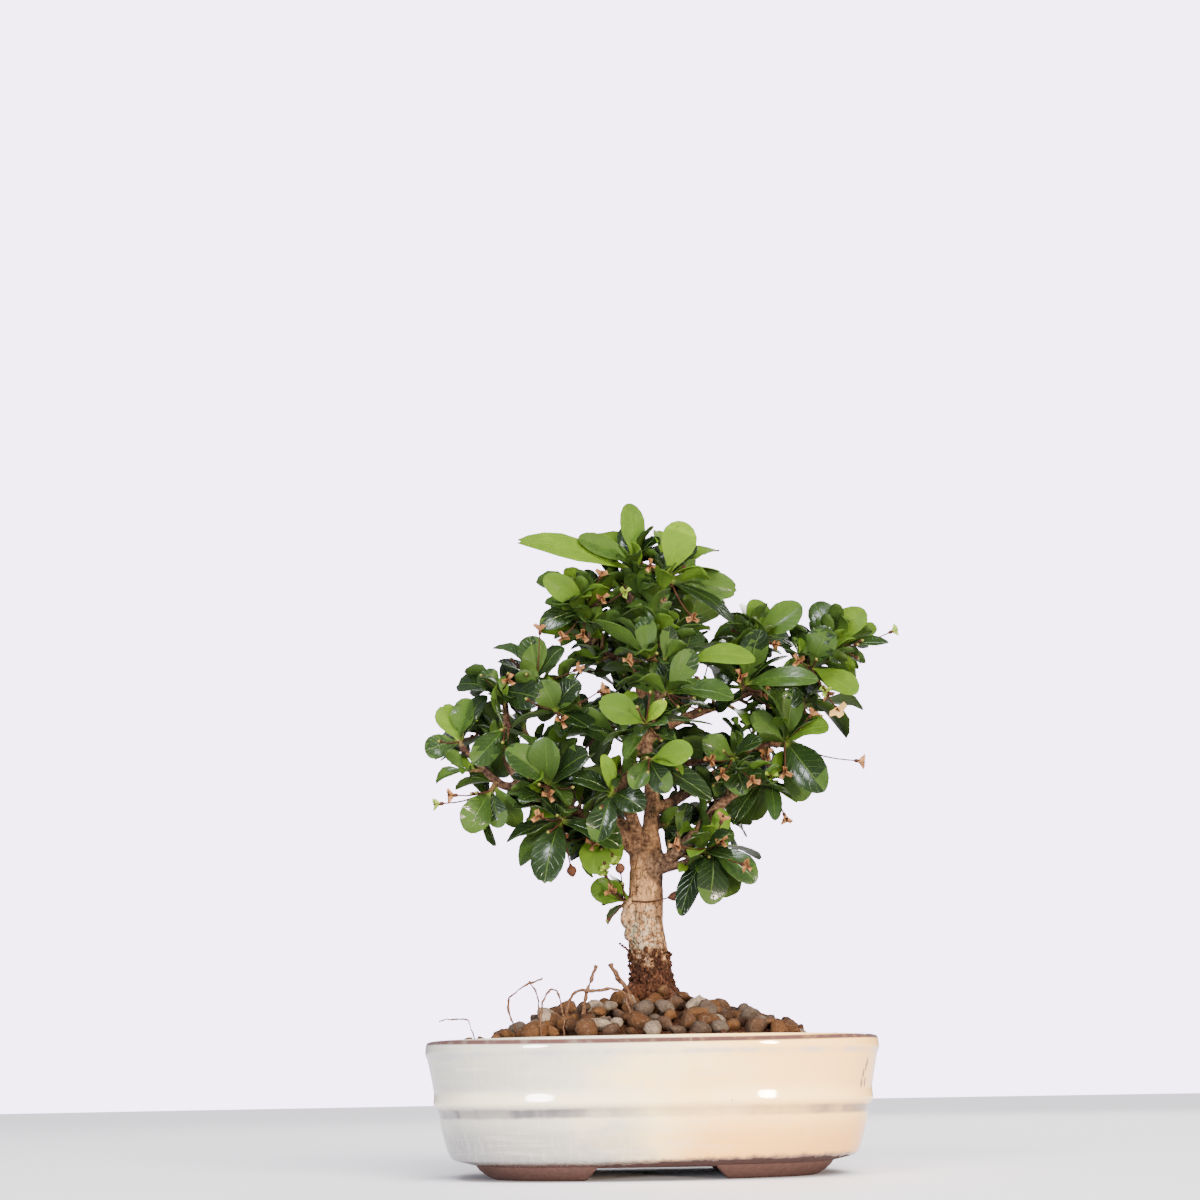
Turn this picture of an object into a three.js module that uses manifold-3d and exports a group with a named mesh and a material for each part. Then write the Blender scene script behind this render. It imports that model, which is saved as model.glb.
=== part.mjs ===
// A fukien tea bonsai in its glazed oval pot, in millimetres with +Z up.
// The tree faces -Y. Every size is measured from the pot's centre on the table top,
// and the last lines bring the whole part over its own middle.

import * as THREE from 'three';
import { mergeVertices } from 'three/addons/utils/BufferGeometryUtils.js';
import Module from 'manifold-3d';

const wasm = await Module();
wasm.setup();

// Driving dimensions. A half is half the oval's length at that height.
const POT_LENGTH = 197;
const POT_WIDTH = 152;
const POT_HEIGHT = 56;
const POT_ROUNDNESS = 2.8;
const WALL = 6.5;
const LIP = 0.6;
const LIP_HEIGHT = 4;
const RIM_ROUND = 0.8;
const STEP_TOP = 28.5;
const STEP_TOP_HALF = 93.9;
const STEP_BOTTOM = 26.5;
const STEP_BOTTOM_HALF = 92.9;
const BELLY_HALF = 88.6;
const BELLY_ROUND = 3;
const BODY_BOTTOM = 7;
const FLOOR_TOP = 15;
const FLOOR_HALF = 75.5;
const FLOOR_ROUND = 3;
const INNER_LOW_HALF = 80.5;
const FOOT_TOP = 8;
const FOOT_TOP_HALF = 78.5;
const FOOT_HALF = 70.5;
const FOOT_BAND = 13;
const FRONT_GAP = 20.5;
const SIDE_GAP = 16;
const GAP_SLOPE = 9;
const DRAIN_RADIUS = 9;
const DRAIN_OFFSET = 42;
const SCREEN_SIZE = 30;
const SCREEN_THICKNESS = 1.2;
const SCREEN_HOLE = 8;
const CLEARANCE = 0.3;

const SOIL_EDGE = 50;
const MOUND_RISE = 24;
const GRAVEL_REACH = 0.84;
const GRAVEL_LIFT = 1.9;
const STONE_SPACING = 17.5;
const STONE_SHIFT = 3.8;
const STONE_HEIGHT = 5.4;
const SHOULDER_REACH = 0.6;
const SHOULDER_HEIGHT = 0.72;
const GRAVEL_SEED = 71;

const TWIG_BASE_RADIUS = 1.3;
const TWIG_TIP_RADIUS = 1.7;
const LEAF_THICKNESS = 1.3;
const LEAF_FOOT_SINK = 0.3;
const FILL_LENGTH = 26;
const FILL_SLENDERNESS = 0.52;
const LEAF_ROOM = 4.2;
const WOOD_ROOM = 2.5;
const LEAF_TRIES = 14;
const LEAST_SPREAD = 0.55;
const SPREAD_RANGE = 0.75;
const OUTWARD_PULL = 0.35;
const INWARD_PULL = 0.6;
const UPWARD_PULL = 0.15;
const LOWEST_LEAF = 96;
const CROWN_MIDDLE = [0, 4, 190];
const GOLDEN_ANGLE = Math.PI * (3 - Math.sqrt(5));
const GROWTH_SEED = 2027;
const STALK_RADIUS = 0.5;
const CALYX_DEPTH = 0.8;

const POT_SIDES = 28;
const DRAIN_SIDES = 16;
const ROOT_SIDES = 5;
const TWIG_SIDES = 4;
const STALK_SIDES = 3;

const material = (color, roughness, metalness = 0) =>
  new THREE.MeshStandardMaterial({ color, roughness, metalness });
const GLAZE = material(0xe6ddd0, 0.2);
const SCREEN = material(0x2b2b2b, 0.7);
const SOIL = material(0x4a3426, 0.95);
const GRAVEL = material(0x9a7a5c, 0.8);
const BARK = material(0xa58a6c, 0.85);
const DEAD_ROOT = material(0x8a6444, 0.9);
const LEAF = material(0x3f7a22, 0.35);

// The wood: each limb is a list of points, with its radius spread evenly along it
const LIMBS = {
  trunk: {
    points: [[1, 0, 34], [1.5, 0, 62], [1.5, 0, 84], [0, 0, 95], [-1, 0, 106], [-0.5, 0, 118], [0, 0, 130],
      [1, 0, 142], [2.5, 1, 152]],
    radii: [9, 11, 10.4, 9, 8.2, 7.7, 7.8, 6.6, 3.4],
    sides: 9,
  },
  leader: {
    points: [[0.5, 0, 138], [2, 0, 147], [3.5, 2, 161], [3, 5, 178], [1, 5, 195], [-0.5, 3, 211],
      [-1, 0, 228], [-2.5, -4, 244], [-4, -7, 257], [-5, -9, 266]],
    radii: [4.6, 4.2, 3.8, 3.4, 2.9, 2.5, 2.2, 1.9, 1.6, 1.4],
    sides: 5,
  },
  frontStem: {
    points: [[-1, 0, 140], [-7, -14, 155], [-11, -30, 166], [-7, -38, 175], [0, -43, 187], [6, -45, 198],
      [7, -43, 210], [8, -38, 226], [10, -30, 242], [12, -22, 260]],
    radii: [3.4, 3, 2.6, 2.3, 2.1, 1.9, 1.8, 1.6, 1.5, 1.3],
    sides: 5,
  },
  leftLow: {
    points: [[-1, 0, 138], [-15, -8, 148], [-27, -14, 153], [-37, -17, 157], [-48, -17, 164],
      [-56, -16, 170], [-62, -15, 179], [-64, -14, 189], [-63, -13, 198], [-64, -12, 209]],
    radii: [4.4, 3.9, 3.6, 3.4, 3.1, 2.8, 2.3, 2, 1.8, 1.5],
    sides: 5,
  },
  leftFar: {
    points: [[-55, -16, 168], [-65, -19, 168], [-74, -21, 176], [-82, -22, 184]],
    radii: [2.3, 2, 1.6, 1.3],
    sides: 5,
  },
  leftMid: {
    points: [[1, 5, 192], [-14, -3, 200], [-29, -9, 203], [-40, -13, 203], [-47, -14, 214]],
    radii: [2.5, 2.2, 1.9, 1.7, 1.3],
    sides: 5,
  },
  leftUpper: {
    points: [[-1, 0, 226], [-13, -4, 231], [-23, -8, 234], [-24, -9, 243], [-25, -10, 249]],
    radii: [1.9, 1.7, 1.5, 1.4, 1.2],
    sides: 5,
  },
  rightUpper: {
    points: [[1, 5, 194], [18, 0, 201], [34, -5, 206], [47, -10, 210], [62, -9, 216], [78, -7, 224],
      [87, -6, 229], [91, -6, 232]],
    radii: [2.6, 2.4, 2.2, 2, 1.8, 1.6, 1.4, 1.2],
    sides: 5,
  },
  rightPeak: {
    points: [[46, -10, 210], [50, -9, 223], [53, -8, 233]],
    radii: [1.6, 1.4, 1.2],
    sides: 5,
  },
  rightMid: {
    points: [[3, 5, 177], [21, -2, 180], [39, -8, 182], [53, -12, 185], [61, -12, 186]],
    radii: [2.3, 2, 1.7, 1.5, 1.3],
    sides: 5,
  },
  rightLow: {
    points: [[1, 0, 134], [10, -6, 135], [18, -11, 141], [27, -14, 150], [36, -16, 160], [47, -17, 166],
      [54, -14, 169]],
    radii: [3.6, 3.2, 3, 2.8, 2.4, 2, 1.5],
    sides: 5,
  },
  rightUnder: {
    points: [[2, 0, 130], [10, -9, 131], [17, -15, 132], [26, -20, 136]],
    radii: [2.6, 2.2, 1.8, 1.4],
    sides: 5,
  },
  backLeft: {
    points: [[0, 2, 146], [-15, 18, 158], [-30, 30, 172], [-44, 38, 186], [-54, 42, 200]],
    radii: [3.4, 3, 2.6, 2, 1.4],
    sides: 5,
  },
  backMiddle: {
    points: [[3, 5, 176], [1, 22, 190], [-4, 40, 204], [-6, 52, 220]],
    radii: [2.7, 2.3, 1.9, 1.3],
    sides: 5,
  },
  backRight: {
    points: [[3, 2, 158], [18, 18, 168], [34, 30, 180], [48, 38, 190], [60, 42, 202]],
    radii: [3, 2.7, 2.3, 1.8, 1.4],
    sides: 5,
  },
  backUpper: {
    points: [[-1, 3, 212], [8, 16, 224], [15, 26, 238], [18, 32, 250]],
    radii: [2, 1.8, 1.5, 1.2],
    sides: 5,
  },
};

// Thick roots that leave the foot of the trunk and go down into the soil
const ROOT_FLARES = [
  [[6, -6, 84], [13, -12, 76], [19, -17, 62]],
  [[-7, -6, 85], [-15, -13, 77], [-22, -18, 62]],
  [[9, 2, 83], [18, 4, 75], [26, 7, 60]],
  [[-9, 3, 84], [-18, 7, 76], [-26, 10, 61]],
  [[0, 9, 84], [2, 18, 76], [3, 26, 61]],
];
const FLARE_RADII = [4.4, 3.4, 2.2];

// The healed knot on the trunk, and the swelling where the limbs leave it
const SWELLINGS = [
  { middle: [-7, -2.5, 114], radii: [4.2, 4, 5.5] },
  { middle: [0.5, -1, 135], radii: [8.4, 7.6, 9] },
];

// Dead and wiry roots that stick out of the gravel
const LOOSE_ROOTS = {
  root_hook: {
    radius: 0.9,
    points: [[-57, -33, 56], [-61, -36, 70], [-59, -38, 75], [-53, -36, 78], [-46, -34, 82]],
  },
  root_wire: { radius: 0.7, points: [[-47, -40, 58], [-48, -41, 72], [-51, -42, 80]] },
  root_stub: { radius: 1.6, points: [[-29, -30, 62], [-28, -30, 76], [-23, -28, 86]] },
  root_peg: { radius: 2, points: [[-5, -22, 66], [-11, -26, 77], [-17, -30, 87]] },
  root_bar: {
    radius: 1.3,
    points: [[-37, -34, 58], [-34, -36, 73], [-23, -38, 76], [-12, -36, 75], [-9, -34, 60]],
  },
  root_arch: {
    radius: 0.8,
    points: [[-47, -46, 54], [-46, -46, 70], [-42, -46, 76], [-38, -44, 70], [-37, -43, 54]],
  },
  root_whisker: { radius: 0.6, points: [[-74, -30, 50], [-78, -29, 64], [-84, -26, 66], [-92, -22, 65]] },
};

// The sprays. Each grows from a limb, at a place counted in the limb's points, and its
// twig ends at the hub. A leaf is its tip, width, age, the side that faces out, and how
// far along the twig it starts. The rest of a spray's leaves follow the growth rule.
const SPRAYS = [
  { name: 'spray_top', limb: 'leader', at: 9, hub: [-1, -8, 277], more: 3, leaves: [
    [-4, -8, 307, 12, 'young', 'front', 1], [-20, 6, 297, 12, 'young', 'front', 0.9],
    [-29, -18, 286, 11, 'ripe', 'front', 0.9], [-7, -3, 297, 10, 'old', 'front', 1],
    [7, -16, 292, 9, 'old', 'up', 1], [-57, -24, 284, 15, 'young', 'front', 0.5]] },
  { name: 'spray_top_right', limb: 'frontStem', at: 9, hub: [13, -20, 266], more: 2, leaves: [
    [21, -27, 290, 17, 'young', 'front', 1], [38, -6, 284, 12, 'young', 'up', 0.9],
    [31, 10, 287, 14, 'old', 'front', 0.8], [37, -28, 266, 11, 'young', 'up', 0.8],
    [45, -20, 258, 14, 'ripe', 'front', 0.7], [42, 4, 255, 14, 'old', 'front', 0.6],
    [9, -6, 294, 9, 'young', 'front', 1], [42, -28, 242, 13, 'old', 'up', 0.4]] },
  { name: 'spray_left_top', limb: 'leftUpper', at: 4, hub: [-26, -12, 254], more: 3, leaves: [
    [-45, -24, 265, 12, 'young', 'front', 1], [-34, -6, 275, 11, 'young', 'front', 1],
    [-23, -6, 274, 10, 'old', 'front', 1], [-43, -2, 258, 8, 'old', 'front', 0.8],
    [-47, -20, 242, 12, 'old', 'front', 0.6], [-13, -22, 267, 10, 'ripe', 'up', 1]] },
  { name: 'spray_left_up', limb: 'leftMid', at: 4, hub: [-49, -14, 218], more: 3, leaves: [
    [-52, -18, 238, 14, 'ripe', 'front', 1], [-37, -14, 234, 12, 'ripe', 'front', 1],
    [-67, -16, 227, 12, 'old', 'up', 0.8], [-44, -4, 201, 12, 'old', 'front', 0.4]] },
  { name: 'spray_left_tip', limb: 'leftLow', at: 9, hub: [-66, -12, 214], more: 3, leaves: [
    [-76, -18, 219, 13, 'ripe', 'front', 0.8], [-46, -30, 205, 15, 'old', 'front', 0.9],
    [-57, -4, 230, 12, 'old', 'up', 1], [-72, -4, 200, 12, 'old', 'front', 0.5],
    [-54, 0, 203, 12, 'old', 'front', 0.5]] },
  { name: 'spray_left_wedge', limb: 'leftMid', at: 2.5, hub: [-40, -28, 200], more: 1, leaves: [
    [-46, -36, 212, 13, 'old', 'front', 1], [-29, -34, 212, 14, 'old', 'front', 1],
    [-25, -40, 189, 15, 'old', 'front', 0.8], [-60, -30, 192, 13, 'old', 'up', 0.7]] },
  { name: 'spray_left_far', limb: 'leftFar', at: 3, hub: [-84, -22, 188], more: 2, leaves: [
    [-92, -20, 205, 11, 'young', 'front', 1], [-78, -28, 206, 14, 'ripe', 'front', 1],
    [-99, -26, 183, 12, 'ripe', 'front', 1], [-73, -12, 212, 9, 'old', 'up', 0.8]] },
  { name: 'spray_left_arch', limb: 'leftLow', at: 7.5, hub: [-63, -24, 193], more: 1, leaves: [
    [-77, -34, 175, 12, 'ripe', 'front', 1], [-73, -18, 177, 12, 'old', 'front', 0.9],
    [-67, -8, 174, 13, 'old', 'front', 0.6]] },
  { name: 'spray_left_hang', limb: 'leftFar', at: 1.2, hub: [-70, -24, 164], more: 1, leaves: [
    [-80, -32, 146, 14, 'ripe', 'front', 1], [-65, -26, 148, 10, 'old', 'front', 0.8],
    [-57, -14, 150, 10, 'ripe', 'front', 0.4]] },
  { name: 'spray_left_heart', limb: 'leftLow', at: 3.8, hub: [-43, -30, 166], more: 2, leaves: [
    [-62, -40, 180, 14, 'ripe', 'front', 1], [-44, -44, 184, 15, 'old', 'front', 1],
    [-25, -46, 176, 16, 'old', 'front', 0.9], [-52, -20, 182, 14, 'ripe', 'front', 0.6],
    [-31, -24, 176, 13, 'old', 'front', 0.5]] },
  { name: 'spray_low_left', limb: 'leftLow', at: 2.8, hub: [-38, -26, 150], more: 2, leaves: [
    [-45, -38, 121, 16, 'old', 'front', 1], [-62, -26, 141, 12, 'old', 'up', 0.9],
    [-58, -14, 133, 11, 'ripe', 'front', 0.8], [-54, -8, 156, 12, 'young', 'front', 0.5],
    [-48, 0, 143, 13, 'old', 'front', 0.5]] },
  { name: 'spray_low_middle', limb: 'leftLow', at: 1.3, hub: [-21, -18, 146], more: 1, leaves: [
    [-25, -26, 127, 15, 'young', 'front', 1], [-14, -14, 132, 12, 'young', 'front', 0.8],
    [-35, -8, 136, 12, 'old', 'front', 0.8]] },
  { name: 'spray_front_low', limb: 'frontStem', at: 2.2, hub: [-15, -38, 160], more: 1, leaves: [
    [-22, -46, 138, 13, 'old', 'front', 1], [-2, -48, 151, 13, 'old', 'front', 1],
    [-32, -42, 167, 10, 'old', 'front', 1], [-19, -48, 175, 8, 'gold', 'front', 1],
    [-27, -28, 152, 12, 'old', 'up', 0.7]] },
  { name: 'spray_front_heart', limb: 'frontStem', at: 4, hub: [0, -49, 189], more: 1, leaves: [
    [-20, -60, 196, 13, 'young', 'front', 1], [9, -58, 196, 7, 'gold', 'front', 1],
    [29, -55, 186, 8, 'ripe', 'up', 0.8], [-9, -54, 172, 9, 'ripe', 'up', 0.7],
    [-19, -42, 181, 13, 'old', 'up', 0.5]] },
  { name: 'spray_front_light', limb: 'frontStem', at: 3.2, hub: [2, -45, 173], more: 1, leaves: [
    [20, -57, 174, 12, 'young', 'front', 1], [9, -52, 158, 11, 'old', 'front', 0.9],
    [-6, -50, 160, 10, 'ripe', 'front', 0.8], [28, -42, 156, 14, 'old', 'front', 0.6]] },
  { name: 'spray_front_mid', limb: 'frontStem', at: 5.2, hub: [10, -50, 202], more: 1, leaves: [
    [38, -60, 197, 14, 'ripe', 'front', 1], [22, -54, 220, 12, 'ripe', 'front', 1],
    [-3, -60, 206, 10, 'ripe', 'up', 0.8], [27, -42, 206, 12, 'old', 'up', 0.7]] },
  { name: 'spray_front_high', limb: 'frontStem', at: 6.2, hub: [17, -43, 217], more: 1, leaves: [
    [49, -52, 216, 14, 'young', 'front', 1], [23, -36, 236, 13, 'old', 'front', 1],
    [36, -24, 230, 13, 'old', 'up', 0.8]] },
  { name: 'spray_front_arch', limb: 'frontStem', at: 6.6, hub: [2, -48, 218], more: 1, leaves: [
    [-21, -60, 233, 9, 'ripe', 'up', 1], [-13, -42, 222, 12, 'old', 'up', 0.7],
    [1, -50, 237, 10, 'old', 'front', 1]] },
  { name: 'spray_right_front', limb: 'rightUpper', at: 2.8, hub: [47, -18, 213], more: 2, leaves: [
    [55, -26, 237, 15, 'old', 'front', 1], [78, -36, 211, 11, 'ripe', 'front', 1],
    [37, -16, 229, 13, 'old', 'up', 0.8], [67, -22, 226, 12, 'ripe', 'up', 1],
    [35, -28, 198, 12, 'old', 'up', 0.6]] },
  { name: 'spray_right_peak', limb: 'rightPeak', at: 2, hub: [54, -9, 238], more: 2, leaves: [
    [55, -12, 256, 13, 'young', 'front', 1], [75, -20, 250, 14, 'ripe', 'front', 1],
    [52, 12, 260, 13, 'old', 'front', 0.8], [73, 6, 242, 13, 'old', 'front', 0.7]] },
  { name: 'spray_right_far', limb: 'rightUpper', at: 7, hub: [94, -7, 234], more: 1, leaves: [
    [104, -12, 251, 14, 'young', 'front', 1], [83, -4, 256, 13, 'ripe', 'front', 1],
    [115, -16, 232, 9, 'ripe', 'up', 1], [113, 2, 246, 8, 'young', 'front', 0.9]] },
  { name: 'spray_right_drop', limb: 'rightUpper', at: 4.9, hub: [79, -13, 222], more: 1, leaves: [
    [87, -24, 238, 15, 'old', 'front', 1], [97, -24, 206, 15, 'young', 'front', 1],
    [70, 2, 234, 13, 'old', 'up', 0.7]] },
  { name: 'spray_right_mid', limb: 'rightMid', at: 4, hub: [65, -14, 187], more: 1, leaves: [
    [69, -20, 210, 13, 'old', 'front', 1], [62, -2, 209, 11, 'ripe', 'front', 1],
    [84, -22, 192, 14, 'young', 'front', 1], [79, -30, 161, 17, 'old', 'front', 1],
    [72, -10, 160, 14, 'old', 'front', 0.8], [50, -18, 200, 10, 'ripe', 'front', 0.7]] },
  { name: 'spray_right_inner', limb: 'rightMid', at: 2.1, hub: [40, -23, 178], more: 2, leaves: [
    [44, -30, 160, 14, 'old', 'front', 1], [26, -32, 184, 12, 'ripe', 'front', 1],
    [53, -10, 164, 13, 'ripe', 'front', 0.7], [52, -34, 183, 11, 'old', 'front', 1],
    [34, -12, 192, 12, 'old', 'up', 0.6]] },
  { name: 'spray_right_low', limb: 'rightLow', at: 6, hub: [57, -14, 171], more: 0, leaves: [
    [57, -26, 149, 8, 'ripe', 'up', 1], [39, -20, 148, 8, 'old', 'front', 0.4],
    [48, -2, 153, 11, 'old', 'front', 0.7]] },
  { name: 'spray_right_under', limb: 'rightUnder', at: 3, hub: [29, -22, 138], more: 1, leaves: [
    [14, -33, 137, 13, 'old', 'up', 0.9], [26, -32, 112, 15, 'old', 'front', 1],
    [47, -30, 122, 13, 'ripe', 'front', 1], [38, -12, 118, 14, 'old', 'front', 0.8],
    [14, -24, 108, 12, 'old', 'front', 0.6]] },
  { name: 'spray_trunk_left', limb: 'trunk', at: 4.8, hub: [-11, -5, 117], more: 0, leaves: [
    [-25, -12, 123, 12, 'young', 'front', 1]] },
  { name: 'spray_trunk_right', limb: 'leader', at: 1.4, hub: [10, 5, 152], more: 1, leaves: [
    [25, 0, 157, 13, 'old', 'front', 1], [20, 0, 138, 14, 'old', 'front', 0.8]] },
  { name: 'spray_back_left_tip', limb: 'backLeft', at: 4, hub: [-58, 45, 208], more: 6, leaves: [] },
  { name: 'spray_back_left_mid', limb: 'backLeft', at: 3, hub: [-44, 50, 184], more: 6, leaves: [] },
  { name: 'spray_back_left_low', limb: 'backLeft', at: 2, hub: [-40, 28, 162], more: 6, leaves: [] },
  { name: 'spray_back_middle_tip', limb: 'backMiddle', at: 3, hub: [-8, 60, 229], more: 6, leaves: [] },
  { name: 'spray_back_middle_left', limb: 'backMiddle', at: 2, hub: [-22, 54, 208], more: 6, leaves: [] },
  { name: 'spray_back_middle_right', limb: 'backMiddle', at: 2, hub: [12, 56, 206], more: 6, leaves: [] },
  { name: 'spray_back_right_tip', limb: 'backRight', at: 4, hub: [66, 46, 210], more: 6, leaves: [] },
  { name: 'spray_back_right_mid', limb: 'backRight', at: 3, hub: [50, 52, 186], more: 6, leaves: [] },
  { name: 'spray_back_right_low', limb: 'backRight', at: 1.7, hub: [34, 34, 162], more: 6, leaves: [] },
  { name: 'spray_back_upper_tip', limb: 'backUpper', at: 3, hub: [20, 37, 260], more: 6, leaves: [] },
  { name: 'spray_back_upper_left', limb: 'backUpper', at: 1, hub: [-12, 26, 236], more: 6, leaves: [] },
  { name: 'spray_back_upper_right', limb: 'backUpper', at: 2, hub: [36, 28, 236], more: 6, leaves: [] },
  { name: 'spray_side_left', limb: 'leftLow', at: 8, hub: [-74, 8, 196], more: 6, leaves: [] },
  { name: 'spray_side_right', limb: 'rightUpper', at: 4.5, hub: [78, 12, 208], more: 6, leaves: [] },
  { name: 'spray_inner', limb: 'backMiddle', at: 0.8, hub: [-10, 26, 174], more: 6, leaves: [] },
];

// Dried flowers, open flowers, buds and seed pods: the spray they hang from, place and kind
const FLOWERS = [
  ['spray_left_top', [-19, -28, 252], 'dry'], ['spray_left_top', [-35, -26, 236], 'dry'],
  ['spray_left_top', [-27, -29, 236], 'dry'], ['spray_left_up', [-31, -26, 219], 'dry'],
  ['spray_left_wedge', [-20, -38, 206], 'dry'], ['spray_top', [4, -28, 268], 'dry'],
  ['spray_top_right', [22, -40, 240], 'dry'], ['spray_right_drop', [73, -22, 222], 'dry'],
  ['spray_right_drop', [87, -28, 199], 'open'], ['spray_right_far', [117, -14, 238], 'bud'],
  ['spray_right_mid', [62, -32, 170], 'dry'], ['spray_right_mid', [76, -20, 197], 'dry'],
  ['spray_right_low', [62, -20, 152], 'dry'], ['spray_right_inner', [34, -38, 168], 'dry'],
  ['spray_right_under', [41, -36, 128], 'dry'], ['spray_right_under', [33, -28, 148], 'dry'],
  ['spray_low_left', [-46, -36, 150], 'dry'], ['spray_low_left', [-34, -24, 130], 'pod'],
  ['spray_left_hang', [-85, -28, 162], 'dry'], ['spray_left_hang', [-91, -30, 158], 'bud'],
];

// Open flowers are stars of five lobes and dried ones have shrunk to three, while buds and
// pods are closed. Between, belt and heart are shares of the radius and depth: how far the
// ring draws in between two lobes, how high it lies, and how high the middle stands.
const FLOWER_KINDS = {
  open: { radius: 4.6, depth: 3, lobes: 5, between: 0.45, belt: 1, heart: 0.3 },
  dry: { radius: 3.2, depth: 3.4, lobes: 3, between: 0.45, belt: 1, heart: 0.3 },
  bud: { radius: 2.2, depth: 3.6, lobes: 3, between: 1, belt: 0.45, heart: 1 },
  pod: { radius: 3, depth: 5, lobes: 3, between: 1, belt: 0.45, heart: 1 },
};

// Plain tools

const vector = (point) => new THREE.Vector3(...point);

function seeded(seed) {
  let state = seed;
  return () => {
    state = (state * 1664525 + 1013904223) % 4294967296;
    return state / 4294967296;
  };
}

function solidOf(geometry) {
  const shape = geometry.clone();
  shape.deleteAttribute('normal');
  shape.deleteAttribute('uv');
  const merged = mergeVertices(shape, 1e-5);
  const mesh = new wasm.Mesh({
    numProp: 3,
    vertProperties: new Float32Array(merged.attributes.position.array),
    triVerts: new Uint32Array(merged.index.array),
  });
  return new wasm.Manifold(mesh);
}

function geometryOf(solid) {
  const mesh = solid.getMesh();
  const geometry = new THREE.BufferGeometry();
  geometry.setAttribute('position', new THREE.BufferAttribute(mesh.vertProperties, 3));
  geometry.setIndex(new THREE.BufferAttribute(mesh.triVerts, 1));
  geometry.computeVertexNormals();
  return geometry;
}

function largestPiece(solid) {
  const pieces = solid.decompose();
  pieces.sort((a, b) => b.volume() - a.volume());
  return pieces[0];
}

function joined(solids) {
  return solids.reduce((sum, solid) => sum.add(solid));
}

// A closed shape of rings: each row of a ball's vertices takes the place that ringPoint gives
function ringed(columns, rows, ringPoint) {
  const geometry = new THREE.SphereGeometry(1, columns, rows);
  const { position, uv } = geometry.attributes;
  for (let i = 0; i < position.count; i += 1) {
    const row = Math.round((1 - uv.getY(i)) * rows);
    const column = Math.round(uv.getX(i) * columns) % columns;
    position.setXYZ(i, ...ringPoint(row, column));
  }
  return geometry;
}

// Oval bodies: a profile is a list of [height, half length], from the top centre to the bottom centre
const HALF_LENGTH = POT_LENGTH / 2;
const OVAL_INSET = (POT_LENGTH - POT_WIDTH) / 2;

function ovalPoint(angle, halfLength, halfWidth) {
  const power = 2 / POT_ROUNDNESS;
  const x = Math.sign(Math.cos(angle)) * Math.abs(Math.cos(angle)) ** power * halfLength;
  const y = Math.sign(Math.sin(angle)) * Math.abs(Math.sin(angle)) ** power * halfWidth;
  return [x, y];
}

function ovalLoft(sides, profile) {
  return ringed(sides, profile.length - 1, (row, column) => {
    const [height, halfLength] = profile[row];
    const atPole = row === 0 || row === profile.length - 1;
    const angle = Math.PI + (column / sides) * 2 * Math.PI;
    const [x, y] = atPole ? [0, 0] : ovalPoint(angle, halfLength, halfLength - OVAL_INSET);
    return [x, y, height];
  });
}

function ovalDistance(x, y, halfLength) {
  const along = Math.abs(x / halfLength) ** POT_ROUNDNESS;
  const across = Math.abs(y / (halfLength - OVAL_INSET)) ** POT_ROUNDNESS;
  return (along + across) ** (1 / POT_ROUNDNESS);
}

// A round limb along a smooth curve, with a radius at each of its points
function limbGeometry(points, radii, sides, steps) {
  const curve = new THREE.CatmullRomCurve3(points.map(vector), false, 'centripetal');
  const frames = curve.computeFrenetFrames(steps, false);
  const geometry = new THREE.CylinderGeometry(1, 1, 1, sides, steps);
  const { position } = geometry.attributes;
  const place = new THREE.Vector3();
  for (let i = 0; i < position.count; i += 1) {
    const step = Math.round((position.getY(i) + 0.5) * steps);
    const share = (step / steps) * (radii.length - 1);
    const before = Math.min(Math.floor(share), radii.length - 2);
    const radius = THREE.MathUtils.lerp(radii[before], radii[before + 1], share - before);
    const forward = frames.tangents[step];
    const across = frames.normals[step];
    const third = new THREE.Vector3().crossVectors(across, forward);
    curve.getPoint(step / steps, place);
    place.addScaledVector(across, position.getX(i) * radius);
    place.addScaledVector(third, position.getZ(i) * radius);
    position.setXYZ(i, place.x, place.y, place.z);
  }
  return geometry;
}

function limbSolid(points, radii, sides, extra = 0) {
  const steps = points.length - 1;
  return solidOf(limbGeometry(points, radii.map((radius) => radius + extra), sides, steps));
}

// The pot: its wall, its foot band cut into four feet, and two drain holes

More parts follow.
